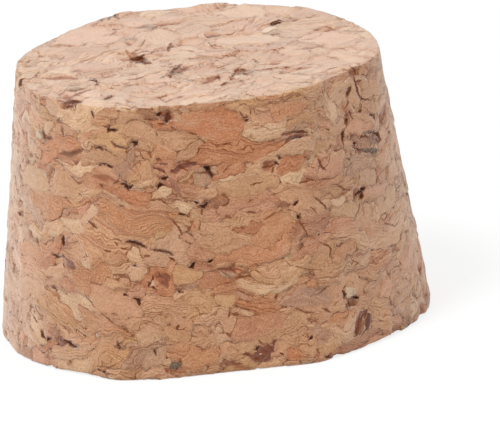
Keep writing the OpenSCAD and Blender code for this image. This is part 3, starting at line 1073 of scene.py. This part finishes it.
SEAM_STEPS = (0.0, 0.25, 0.5, 0.75)
tree = kdtree.KDTree(len(seam_edges) * len(SEAM_STEPS))
for along in SEAM_STEPS:
    spots = points[seam_edges[:, 0]] * (1 - along) + points[seam_edges[:, 1]] * along
    for index, spot in enumerate(spots):
        tree.insert(spot, index)
tree.balance()
nearest = [tree.find(place)[1:] for place in points]
seam_distance = np.array([distance for _, distance in nearest])
seam_distance[at_seam] = 0
marks = chance.beta(*MARK_SHAPE, size=MARK_COUNT)
seam_mark = marks[pair_number[[index for index, _ in nearest]]]
print("seam edges:", len(seam_edges))

# %% Hollows, where the surface was torn: on the side by turn and height, on the small end by x and y
Hollow = namedtuple("Hollow", "middle axes half depth")


def side_hollow(turn, height, long, tall, lean, depth):
    shape = crumb_at(*side_frame(turn, height), (long, tall, max(long, tall)), lean, 1, "tan")
    return Hollow(shape.middle, shape.axes, shape.half, depth)


def end_hollow(x, y, long, wide, lean, depth):
    shape = end_crumb(x, y, long, wide, lean, "tan")
    return Hollow(shape.middle, shape.axes, np.array([long, wide, 1.0]), depth)


HOLLOWS = [
    end_hollow(-4.1, 1.0, 1.1, 0.42, -50, 0.4),
    end_hollow(-4.4, 4.2, 0.7, 0.3, -50, 0.2),
    end_hollow(-0.9, -2.7, 0.8, 0.45, 50, 0.2),
    end_hollow(2.6, -4.0, 0.9, 0.5, 60, 0.22),
    end_hollow(5.6, -3.2, 1.2, 0.35, -6, 0.2),
    end_hollow(-2.2, 8.0, 1.0, 0.5, 0, 0.2),
    end_hollow(-0.9, 3.2, 0.3, 0.5, 0, 0.25),
    end_hollow(2.2, 5.6, 0.8, 0.4, 15, 0.25),
    end_hollow(-6.4, 9.6, 0.7, 0.4, 20, 0.12),
    end_hollow(-4.7, -9.4, 0.5, 0.4, 20, 0.25),
    end_hollow(-8.4, -7.9, 0.9, 0.4, -70, 0.2),
    end_hollow(9.2, 4.4, 0.9, 0.4, 10, 0.22),
    end_hollow(6.4, 8.2, 0.5, 0.5, 0, 0.3),
    end_hollow(0.8, -5.8, 1.0, 0.3, 30, 0.2),
    end_hollow(-8.6, -2.6, 1.2, 0.35, -12, 0.16),
    side_hollow(-47, 18.4, 0.45, 0.35, 0, 0.3),
    side_hollow(-88, 18.4, 0.5, 0.5, 0, 0.5),
    side_hollow(60, 18.4, 0.3, 0.6, 0, 0.12),
    side_hollow(-11, 17.8, 0.35, 0.4, 0, 0.3),
    side_hollow(-14.5, 6.8, 0.35, 0.4, 30, 0.1),
    side_hollow(42, 1.8, 0.9, 0.5, 62, 0.12),
    side_hollow(42, 3.2, 0.35, 0.35, 0, 0.25),
    side_hollow(50, 10.3, 0.6, 0.35, 30, 0.3),
    side_hollow(58, 0.3, 0.7, 0.4, 0, 0.2),
    side_hollow(73, 0.4, 0.6, 0.5, 0, 0.25),
    side_hollow(-33, 13.6, 1.0, 0.3, 10, 0.16),
    side_hollow(20, 13.9, 0.5, 0.25, 0, 0.25),
    side_hollow(5, 7.0, 0.7, 0.25, -18, 0.2),
]
HOLLOWS_BY_CHANCE = 70
SMALLEST_HOLLOW = (0.4, 0.2, 0.1)
LARGEST_HOLLOW = (1.3, 0.6, 0.4)
HAND_MADE_ABOVE = 17
HAND_MADE_FRONT = -4
BASE_HEIGHT = 1
for _ in range(HOLLOWS_BY_CHANCE):
    middle = points[chance.integers(len(points))]
    on_front = middle[1] < HAND_MADE_FRONT and middle[2] > BASE_HEIGHT
    if middle[2] > HAND_MADE_ABOVE or on_front:
        continue
    long, wide, deep = chance.uniform(SMALLEST_HOLLOW, LARGEST_HOLLOW)
    turn = chance.uniform(0, math.pi)
    level = np.array([math.cos(turn), math.sin(turn), chance.normal(0, 0.2)])
    level /= np.linalg.norm(level)
    across = np.cross(level, (0.1, 0, 1))
    across /= np.linalg.norm(across)
    axes = np.array([level, across, np.cross(level, across)])
    HOLLOWS.append(Hollow(middle, axes, np.array([long, long, wide]), deep))

torn = np.zeros(len(points))
hollow_depth = np.zeros(len(points))
wandered = wander(points)
for hollow in HOLLOWS:
    middle = wander(hollow.middle[None])[0]
    near = (((wandered - middle) @ hollow.axes.T / hollow.half) ** 2).sum(axis=1)
    fall = np.exp(-(near**1.5))
    torn = np.maximum(torn, fall)
    hollow_depth = np.maximum(hollow_depth, hollow.depth * fall)
print(len(HOLLOWS), "hollows, up to", round(hollow_depth.max(), 2), "mm deep")

# %% Move the points
GROOVE = 0.06
CROWN = 0.008
VOID_DEPTH = 0.32
CRACK_DEPTH = 0.1
CRACK_REACH = 1.3
PIT_RUN = 0.14
CROWN_RUN = 0.16
GROOVE_RUN = 0.07
LEVEL_ON_END = 0.055
LEVEL_ON_SIDE = 0.024
TILT_ON_END = 0.065
TILT_ON_SIDE = 0.03
MOST_STAND = 0.16
FACES_UP = 0.9
SLOW_WAVES = [waves(8, 9.0, 0.05), waves(12, 2.5, 0.015), waves(16, 0.8, 0.008)]

body.transform(Matrix.Scale(1, 4))
body.update()
normals = np.empty(len(points) * 3, np.float32)
body.vertex_normals.foreach_get("vector", normals)
normals = normals.reshape(-1, 3).astype(float)

spots = in_frame(points, normals)
crack_depth = np.zeros(len(points))
for piece in wide_pieces:
    edge = 1 + past_edge(spots, piece) / piece.half_width
    fall = np.clip(CRACK_REACH - edge, 0, 1)
    depth = CRACK_DEPTH * piece.half_width * piece.strength * np.sin(fall * math.pi / 2) ** 2
    crack_depth = np.maximum(crack_depth, depth)

corner_owner = np.repeat(face_owner, 3)
local = np.einsum("nij,nj->ni", all_axes[corner_owner], wandered[corners] - middles[corner_owner])
on_end = np.abs(normals[corners, 2]) > FACES_UP
own_level = chance.normal(0, 1, size=len(crumbs) + 1)[corner_owner]
own_tilt = chance.normal(0, 1, size=(len(crumbs) + 1, 3))[corner_owner]
stand = np.where(on_end, LEVEL_ON_END, LEVEL_ON_SIDE) * own_level
stand += np.where(on_end, TILT_ON_END, TILT_ON_SIDE) * (own_tilt * local).sum(axis=1)
stand = np.clip(stand, -MOST_STAND, MOST_STAND)
counted = ~is_void[corner_owner]
point_stand = np.zeros(len(points))
point_count = np.zeros(len(points))
np.add.at(point_stand, corners[counted], stand[counted])
np.add.at(point_count, corners[counted], 1)
point_stand /= np.maximum(point_count, 1)

point_void = is_void[highest_owner] & ~at_seam
pit = VOID_DEPTH * (1 - np.exp(-seam_distance / PIT_RUN))
crown = CROWN * (1 - np.exp(-seam_distance / CROWN_RUN))
crown = crown - GROOVE * seam_mark**2 * np.exp(-seam_distance / GROOVE_RUN)
lift = np.where(point_void, -pit, point_stand + crown) - np.maximum(hollow_depth, crack_depth)
for ways, phases, pushes in SLOW_WAVES:
    lift += (np.sin(points @ ways.T + phases) @ pushes)[:, 0]
lift -= CROWN
moved = points + lift[:, None] * normals
moved[:, 2] = np.maximum(moved[:, 2], 0)
print(f"relief from {lift.min():.2f} to {lift.max():.2f} mm")

# %% Keep what the material needs on the mesh
def keep(name, kind, domain, values):
    """Stores numbers on the mesh under a name that the material reads."""
    attribute = body.attributes.new(name, kind, domain)
    field = {"FLOAT": "value", "FLOAT_VECTOR": "vector", "FLOAT_COLOR": "color"}[kind]
    attribute.data.foreach_set(field, np.ascontiguousarray(values, np.float32).ravel())


TONE_SPREAD = 0.05
HUE_SPREAD = 0.012


def tone_values(names):
    """One colour for each crumb from its tone's name, each a little off."""
    palette = np.array([TONES[name][0] for name in names])
    palette = palette * chance.normal(1, TONE_SPREAD, size=(len(names), 1))
    palette = palette * chance.normal(1, HUE_SPREAD, size=(len(names), 3))
    return np.append(palette, np.ones((len(names), 1)), axis=1)


# %% The nearest crack and the nearest spot for each triangle
FAR_PX = 6.0
JOINT_PX = 0.8
TIP_THINNING = 0.5
face_middle = moved[triangles].mean(axis=1)
face_normal = np.cross(points[triangles[:, 1]] - points[triangles[:, 0]],
                       points[triangles[:, 2]] - points[triangles[:, 0]])
face_spots = in_frame(face_middle, face_normal)
corner_spots = in_frame(moved[corners], np.repeat(face_normal, 3, axis=0))


def pressed_on(pieces):
    """For each corner, the nearest piece, its distances across and along it, its width and its strength."""
    nearest_piece = np.zeros(triangle_count, int)
    nearest_edge = np.full(triangle_count, FAR_PX)
    for index, piece in enumerate(pieces):
        edge = past_edge(face_spots, piece)
        nearest_piece[edge < nearest_edge] = index
        nearest_edge = np.minimum(nearest_edge, edge)
    chosen = np.repeat(nearest_piece, 3)
    start, way, length, half_width, strength, before, whole = (
        np.array([getattr(piece, field) for piece in pieces])[chosen] for field in Piece._fields
    )
    away = corner_spots - start
    along = (away * way).sum(axis=1)
    across = away[:, 1] * way[:, 0] - away[:, 0] * way[:, 1]
    run = np.clip((along + before) / whole, 0, 1)
    width = half_width * (1 - TIP_THINNING * (2 * run - 1) ** 4)
    spot = np.stack([across, along - length / 2, length / 2 + JOINT_PX], axis=1)
    kind = np.stack([width, strength * np.repeat(nearest_edge < FAR_PX, 3), width], axis=1)
    return chosen, spot, kind


_, crack_place, crack_kind = pressed_on(crack_pieces)
spot_piece, spot_place, spot_kind = pressed_on(spot_pieces)
spot_tone = np.append(spot_tones, np.ones((len(spot_tones), 1)), axis=1)[spot_piece]
print(f"{(crack_kind[:, 1] > 0).mean():.0%} of the corners lie near a crack")

# %% Tones of the crumbs and where their growth lines run
SOFT_ROUNDS = 4
SOFT_SHARE = 0.6
SPACINGS = (0.16, 0.27)
LAST_SEED = 100
MOST_GATHER = 0.5
own_names = [c.tone for c in crumbs] + ["void"]
other_names = list(chance.choice(TONE_NAMES, size=len(own_names), p=shares))
end_share = local[:, 0] / halves[corner_owner, 0]
bends = np.array([c.bend for c in crumbs] + [0])[corner_owner]
gather = chance.uniform(0, MOST_GATHER, size=len(crumbs) + 1)[corner_owner]
lies_flat = on_end & (corner_owner >= first_by_chance)
layer_place = np.where(lies_flat, local[:, 2], local[:, 1])
deep_place = np.where(lies_flat, local[:, 1], local[:, 2])
layer = layer_place * (1 + gather * end_share**2) + bends * local[:, 0] ** 2
line_draws = np.array([[c.lines, chance.uniform(*SPACINGS), chance.uniform(0, LAST_SEED)] for c in crumbs])
line_draws = np.append(line_draws, [[0, 1, 0]], axis=0)

own_tone = tone_values(own_names)[corner_owner]
soft_tone = np.zeros((len(points), 4))
np.add.at(soft_tone, corners[counted], own_tone[counted])
soft_tone /= np.maximum(point_count, 1)[:, None]
neighbours = np.zeros(len(points))
np.add.at(neighbours, sides.ravel(), 1)
for _ in range(SOFT_ROUNDS):
    gathered = np.zeros_like(soft_tone)
    np.add.at(gathered, sides[:, 0], soft_tone[sides[:, 1]])
    np.add.at(gathered, sides[:, 1], soft_tone[sides[:, 0]])
    soft_tone = (1 - SOFT_SHARE) * soft_tone + SOFT_SHARE * gathered / neighbours[:, None]

for name, kind, domain, values in (
    ("crumb_tone", "FLOAT_COLOR", "CORNER", own_tone),
    ("soft_tone", "FLOAT_COLOR", "POINT", soft_tone),
    ("other_tone", "FLOAT_COLOR", "CORNER", tone_values(other_names)[corner_owner]),
    ("crumb_place", "FLOAT_VECTOR", "CORNER", np.stack([local[:, 0], layer, deep_place], axis=1)),
    ("crumb_lines", "FLOAT_VECTOR", "CORNER", line_draws[corner_owner]),
    ("in_void", "FLOAT", "CORNER", is_void[corner_owner]),
    ("distinct", "FLOAT", "CORNER", np.array([name in SMALL_TONES for name in own_names])[corner_owner]),
    ("seam_distance", "FLOAT", "POINT", seam_distance),
    ("seam_mark", "FLOAT", "POINT", seam_mark),
    ("pit_depth", "FLOAT", "POINT", np.where(point_void, pit, 0)),
    ("torn", "FLOAT", "POINT", torn),
    ("blank_place", "FLOAT_VECTOR", "POINT", points),
    ("crack_place", "FLOAT_VECTOR", "CORNER", crack_place),
    ("crack_kind", "FLOAT_VECTOR", "CORNER", crack_kind),
    ("spot_place", "FLOAT_VECTOR", "CORNER", spot_place),
    ("spot_kind", "FLOAT_VECTOR", "CORNER", spot_kind),
    ("spot_tone", "FLOAT_COLOR", "CORNER", spot_tone),
):
    keep(name, kind, domain, values)

body.vertices.foreach_set("co", (moved * MM).astype(np.float32).ravel())
body.shade_smooth()
body.update()
stopper = bpy.data.objects.new("cork_stopper", body)
bpy.context.collection.objects.link(stopper)
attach(stopper, "root")
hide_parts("stopper")
print("stopper mesh:", len(body.vertices), "points,", len(body.polygons), "triangles")

# %% [markdown]
# ## Node arithmetic
# A material is a formula, and it reads best when it is written as one. The small class below wraps
# a node's output so that Python's own operators add Math nodes, and one method makes any other
# node from its type, its settings and its inputs.

# %% Wires and trees
class Wire:
    """A node's output. Each operator on it adds one Math node."""

    def __init__(self, tree, socket):
        self.tree = tree
        self.socket = socket

    def maths(self, operation, *values):
        return self.tree.node("ShaderNodeMath", {"operation": operation}, dict(enumerate(values)))

    def __add__(self, other):
        return self.maths("ADD", self, other)

    def __sub__(self, other):
        return self.maths("SUBTRACT", self, other)

    def __rsub__(self, other):
        return self.maths("SUBTRACT", other, self)

    def __mul__(self, other):
        return self.maths("MULTIPLY", self, other)

    def __truediv__(self, other):
        return self.maths("DIVIDE", self, other)

    def __abs__(self):
        return self.maths("ABSOLUTE", self)

    def at_least(self, other):
        return self.maths("MAXIMUM", self, other)

    __radd__ = __add__
    __rmul__ = __mul__


class Tree:
    """The nodes of one material."""

    def __init__(self, owner):
        owner.use_nodes = True
        self.nodes = owner.node_tree.nodes
        self.links = owner.node_tree.links
        self.nodes.clear()

    def node(self, kind, settings=None, inputs=None, output=0):
        """A node of this kind: its settings are set first, then each input gets a value or a link."""
        made = self.nodes.new(kind)
        for name, value in (settings or {}).items():
            setattr(made, name, value)
        for key, value in (inputs or {}).items():
            if isinstance(value, Wire):
                self.links.new(value.socket, made.inputs[key])
            else:
                made.inputs[key].default_value = value
        return Wire(self, made.outputs[output]) if made.outputs else made

    def stored(self, name, output="Fac"):
        """What the mesh holds under this name."""
        return self.node("ShaderNodeAttribute", {"attribute_name": name}, output=output)

    def ramp(self, value, low, high, to_low=0.0, to_high=1.0, shape="SMOOTHSTEP"):
        """A step from low to high, soft at both ends."""
        limits = {"From Min": low, "From Max": high, "To Min": to_low, "To Max": to_high}
        return self.node("ShaderNodeMapRange", {"interpolation_type": shape}, {"Value": value, **limits})

    def straight(self, value, low, high):
        """A straight step from low to high."""
        return self.ramp(value, low, high, shape="LINEAR")

    def noise(self, place, scale, detail=2.0, roughness=0.5, output="Fac"):
        """Soft noise between 0 and 1, with its middle at a half."""
        return self.node(
            "ShaderNodeTexNoise", {},
            {"Vector": place, "Scale": scale, "Detail": detail, "Roughness": roughness}, output,
        )

    def mixed(self, share, one, other, blend="MIX"):
        """Two colours mixed by a share."""
        settings = {"data_type": "RGBA", "blend_type": blend, "clamp_factor": True}
        return self.node("ShaderNodeMix", settings, {0: share, 6: one, 7: other}, output=2)

    def part(self, vector, axis):
        return self.node("ShaderNodeSeparateXYZ", {}, {0: vector}, axis)

    def joined(self, x, y, z):
        return self.node("ShaderNodeCombineXYZ", {}, {"X": x, "Y": y, "Z": z})


# %% [markdown]
# ## The cork material
# Inside one crumb the material draws the growth lines, which are the layers of the cork oak's
# bark seen edge on: thin, a fifth of a millimetre apart, a little bent and wavy, and darker and
# redder than the cork between. Over that come soft stains, the fine speckle of the cells, the
# dark glue line along some seams, and the voids, whose brown is painted darker the deeper they
# go, as painted shade. Hollows and cracks get their own darker brown together with painted shade.
# The two ends, and a little the left and right sides, are painted paler and greyer. This is painted
# haze, a painted highlight for the light they catch, and not a colour of the cork.

# %% Places that the patterns are drawn on
cork_look = bpy.data.materials.new("pressed_cork")
look = Tree(cork_look)
place = look.stored("crumb_place", "Vector")
draws = look.stored("crumb_lines", "Vector")
along, layer_place, deep = (look.part(place, axis) for axis in "XYZ")
line_strength, spacing, seed = (look.part(draws, axis) for axis in "XYZ")
blank_place = look.stored("blank_place", "Vector")

wide_place = look.joined(along * 0.5, layer_place * 1.1, deep * 0.5 + seed)
grain_place = look.joined(along * 0.9, layer_place * 5.0, deep * 0.9 + seed)
patch_place = look.joined(along * 0.6, layer_place * 1.5, deep * 0.6 - seed)

# %% Growth lines
swell = (look.noise(wide_place, 1.0) - 0.5) * 0.65
ripple = (look.noise(blank_place, 3.5, 1.0) - 0.5) * 0.09
turns = (layer_place + swell + ripple) / spacing
line_number = turns.maths("FLOOR", turns)
line_edge = abs(turns - line_number - 0.5) * 2
line_draw = look.node(
    "ShaderNodeTexWhiteNoise", {"noise_dimensions": "2D"}, {"Vector": look.joined(line_number, seed, 0.0)}
)
fading = look.ramp(look.noise(grain_place, 0.7, 1.0), 0.25, 0.55)
lines = look.ramp(line_edge, 0.5, 1.0) * (line_draw * 0.7 + 0.3) * line_strength * fading
band = look.ramp(line_draw, 0.84, 0.9) * (1 - look.ramp(line_edge, 0.6, 1.0)) * line_strength * fading

# %% Stains, grain and speckle
stain = look.noise(blank_place, 0.7, 3.0, 0.55) - 0.5
patch = look.ramp(look.noise(patch_place, 1.0, 3.0, 0.6), 0.42, 0.7)
grain = look.noise(grain_place, 1.0, 3.0, 0.6) - 0.5
speckle = look.noise(blank_place, 7.0, 2.0, 0.7) - 0.5
cells = look.noise(blank_place, 16.0, 1.0, 0.6) - 0.5

# %% Seams and voids
seam = look.stored("seam_distance")
mark = look.stored("seam_mark")
in_void = look.stored("in_void")
broken = look.ramp(look.noise(blank_place, 1.9, 2.0), 0.42, 0.6)
blot = look.ramp(look.noise(blank_place, 1.25, 3.0, 0.6), 0.62, 0.7)
frayed = look.noise(blank_place, 6.0, 2.0) * 0.04
seam_width = mark * mark * 0.035 + frayed + blot * 0.06 + 0.006
seam_strength = look.ramp(mark * broken + blot, 0.0, 0.6) * 0.8 + 0.2
seam_line = (1 - look.ramp(seam / seam_width, 0.35, 1.0)) * seam_strength
seam_shade = (1 - look.ramp(seam, 0.0, 0.3)) * mark
torn = look.stored("torn")
# Inside the hollows: partly the torn cork's own darker brown, partly painted shade in the recess.
torn_colour_and_painted_shade = look.ramp(torn + speckle * 0.9, 0.25, 0.85)
# How deep a void's pit is. Below, this paints the void darker the deeper it goes, as painted shade.
depth = look.straight(look.stored("pit_depth"), 0.0, 0.25)

# %% Cracks and spots
def from_line(name, wobble):
    """Distance from the middle of the nearest crack or spot as a share of its half width, and its kind."""
    place = look.stored(name + "_place", "Vector")
    kind = look.stored(name + "_kind", "Vector")
    across = look.part(place, "X") + (look.noise(blank_place, 2.2, 1.0) - 0.5) * wobble
    past_end = (abs(look.part(place, "Y")) - look.part(place, "Z")).at_least(0.0)
    square = across * across + past_end * past_end
    width = look.part(kind, "X")
    return square.maths("SQRT", square) / width, width, look.part(kind, "Y")


crack_edge, crack_width, crack_strength = from_line("crack", 2.6)
ragged = look.noise(blank_place, 5.0, 2.0, 0.6) - 0.5
crack_wide = look.ramp(crack_width, 0.7, 2.0)
held = look.ramp(look.noise(blank_place, 1.7, 1.0) + crack_wide * 0.3, 0.35, 0.6, 0.3, 1.0)
crack_share = (1 - look.ramp(crack_edge + ragged * 2.2, 0.4, 1.4)) * crack_strength * held
spot_edge, _, spot_strength = from_line("spot", 1.5)
spot_share = (1 - look.ramp(spot_edge + ragged * 1.6, 0.6, 1.2)) * spot_strength

# %% Colours
SHADE_TINT = (0.44, 0.23, 0.05, 1.0)
FINE_TINT = (0.44, 0.25, 0.06, 1.0)
normal = look.node("ShaderNodeTexCoord", {}, {}, "Normal")
up = look.part(normal, "Z")
# Painted haze: where the normal points up or down, on the two ends, the tone is mixed towards pale cream as
# a painted highlight.
painted_end_haze = look.ramp(abs(up), 0.6, 0.8)
sideways = look.part(normal, "X")
# Painted haze: surfaces that face left or right are mixed a little towards pale cream, a painted highlight
# for the brighter sides.
painted_side_haze = look.ramp(abs(sideways), 0.5, 1.0)
shade = stain * 0.35 + grain * 0.5 + speckle * 0.45 - lines * 0.78 - seam_shade * 0.1
fine = cells * 0.85 + speckle * 0.35
shared = 1 - look.stored("distinct")
soft_seam = (1 - look.ramp(mark, 0.05, 0.45)) * shared
tone = look.mixed(soft_seam * 0.8, look.stored("crumb_tone", "Color"), look.stored("soft_tone", "Color"))
tone = look.mixed(patch * shared * 0.5, tone, look.stored("other_tone", "Color"))
# Painted light: the ends, and a little the left and right sides, are mixed towards pale cream, which paints
# in the haze of light on them.
tone = look.mixed(painted_end_haze * 0.42 + painted_side_haze * 0.15, tone, paint(232, 210, 193))
tone = look.mixed(look.straight(shade, 0.0, -0.7), tone, SHADE_TINT, "MULTIPLY")
tone = look.mixed(look.straight(shade, 0.0, 0.7) * 0.5, tone, paint(236, 200, 168))
tone = look.mixed(look.straight(fine, 0.0, -0.5), tone, FINE_TINT, "MULTIPLY")
tone = look.mixed(look.straight(fine, 0.0, 0.5) * 0.4, tone, paint(240, 200, 166))
tone = look.mixed(band * 0.55, tone, paint(136, 82, 62))
# The hollows are mixed towards reddish brown, partly their own colour and partly painted shade.
tone = look.mixed(torn_colour_and_painted_shade * 0.75, tone, paint(136, 78, 54))
tone = look.mixed(spot_share, tone, look.stored("spot_tone", "Color"))
# The glue line is paler and redder on the ends, to sit under the painted haze there.
seam_tone = look.mixed(painted_end_haze, paint(104, 46, 8), paint(132, 68, 40))
seam_held = look.ramp(look.noise(wide_place, 0.9, 1.0), 0.35, 0.6, 0.35, 1.0)
tone = look.mixed(seam_line * seam_held * 0.78, tone, seam_tone)
# Voids: dark brown at the rim and painted darker towards the bottom of the pit, which is painted shade.
pit_colour_and_painted_shade = look.mixed(depth, paint(108, 58, 34), paint(52, 24, 14))
tone = look.mixed(in_void, tone, pit_colour_and_painted_shade)
# Cracks: partly their own dark brown, partly painted shade in the gap. Thin ones are paler on the ends,
# under the painted haze there.
thin_crack_colour_and_shade = look.mixed(painted_end_haze, paint(118, 56, 14), paint(132, 72, 44))
crack_colour_and_painted_shade = look.mixed(crack_wide, thin_crack_colour_and_shade, paint(84, 34, 6))
tone = look.mixed(crack_share, tone, crack_colour_and_painted_shade)

# %% Surface
BUMP_DEPTH = 0.00006
height = speckle * 0.6 + cells * 0.4 + grain * 0.3 - lines * 0.4 - seam_line * 1.2 - crack_share * 1.5
bumped = look.node("ShaderNodeBump", {}, {"Strength": 0.8, "Distance": BUMP_DEPTH, "Height": height})
rough = look.ramp(stain, -0.3, 0.3, 0.62, 0.8)
surface_shader = look.node(
    "ShaderNodeBsdfPrincipled", {},
    {
        "Base Color": tone, "Roughness": rough, "Normal": bumped, "Specular IOR Level": 0.12,
        "Sheen Weight": 0.8, "Sheen Roughness": 0.35, "Sheen Tint": paint(255, 244, 234),
    },
)
look.node("ShaderNodeOutputMaterial", {}, {"Surface": surface_shader})
body.materials.append(cork_look)
print("cork material:", len(look.nodes), "nodes")

# %% [markdown]
# ## Floor and light
# The stopper stands on a plain white floor under a soft sky, which is brighter behind it than in
# front, and one large lamp. To the camera the floor is mostly a plain white glow, so that it melts
# into the white behind it. The small rest is real lit floor, which keeps the shadow where the
# stopper touches it.

# %% Floor
def seen_directly(tree):
    """1 for what the camera, a reflection or clear glass looks at, and 0 for light on its way."""
    path = {name: tree.node("ShaderNodeLightPath", {}, {}, name)
            for name in ("Is Camera Ray", "Is Glossy Ray", "Is Transmission Ray")}
    first, *others = path.values()
    for other in others:
        first = first.at_least(other)
    return first


FLOOR_SIZE = 3.0
FLOOR_WHITE = (0.85, 0.85, 0.85, 1.0)
WHITE = (1.0, 1.0, 1.0, 1.0)
GLOW_SHARE = 0.8
floor_blank = bmesh.new()
bmesh.ops.create_grid(floor_blank, x_segments=1, y_segments=1, size=FLOOR_SIZE / 2)
floor_mesh = bpy.data.meshes.new("floor")
floor_blank.to_mesh(floor_mesh)
floor_blank.free()
floor = bpy.data.objects.new("floor", floor_mesh)
bpy.context.collection.objects.link(floor)
floor_look = bpy.data.materials.new("white_floor")
floor_tree = Tree(floor_look)
lit = floor_tree.node("ShaderNodeBsdfDiffuse", {}, {"Color": FLOOR_WHITE})
glow = floor_tree.node("ShaderNodeEmission", {}, {"Color": WHITE, "Strength": 1.0})
glow_share = seen_directly(floor_tree) * GLOW_SHARE
both = floor_tree.node("ShaderNodeMixShader", {}, {0: glow_share, 1: lit, 2: glow})
floor_tree.node("ShaderNodeOutputMaterial", {}, {"Surface": both})
floor_mesh.materials.append(floor_look)
floor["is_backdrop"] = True

# %% Sky and lamp
SKY_FRONT = 0.4
SKY_BACK = 0.95
SKY_RIGHT = 0.52
sky = bpy.data.worlds.new("sky")
bpy.context.scene.world = sky
air = Tree(sky)
backwards = air.part(air.node("ShaderNodeTexCoord", {}, {}, "Generated"), "Y")
rightwards = air.part(air.node("ShaderNodeTexCoord", {}, {}, "Generated"), "X")
soft = air.ramp(backwards, -0.4, 0.7, SKY_FRONT, SKY_BACK) + air.ramp(rightwards, 0.0, 0.9, 0.0, SKY_RIGHT)
direct = seen_directly(air)
strength = direct + (1 - direct) * soft
dome = air.node("ShaderNodeBackground", {}, {"Color": WHITE, "Strength": strength})
air.node("ShaderNodeOutputWorld", {}, {"Surface": dome})

LAMP_SIZE = 0.2
LAMP_PLACE = Vector((-0.22, -0.25, 0.55))
LAMP_WATTS = 3.2
lamp_data = bpy.data.lights.new("soft_lamp", "AREA")
lamp_data.size = LAMP_SIZE
lamp_data.energy = LAMP_WATTS
lamp = bpy.data.objects.new("soft_lamp", lamp_data)
bpy.context.collection.objects.link(lamp)
lamp.location = LAMP_PLACE
lamp.rotation_euler = (-LAMP_PLACE).to_track_quat("-Z", "Y").to_euler()
bpy.context.scene.view_settings.view_transform = "Standard"
print("lamp at", [round(c, 2) for c in LAMP_PLACE], "m")

# %% Sizes, then the last line
visual_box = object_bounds()
sizes = {"cad": [list(map(float, corner)) for corner in cad_box],
         "visual": [list(map(float, corner)) for corner in visual_box]}
for name, (low, high) in sizes.items():
    print(name, "box in mm:", [round(1000 * (b - a), 2) for a, b in zip(low, high)])
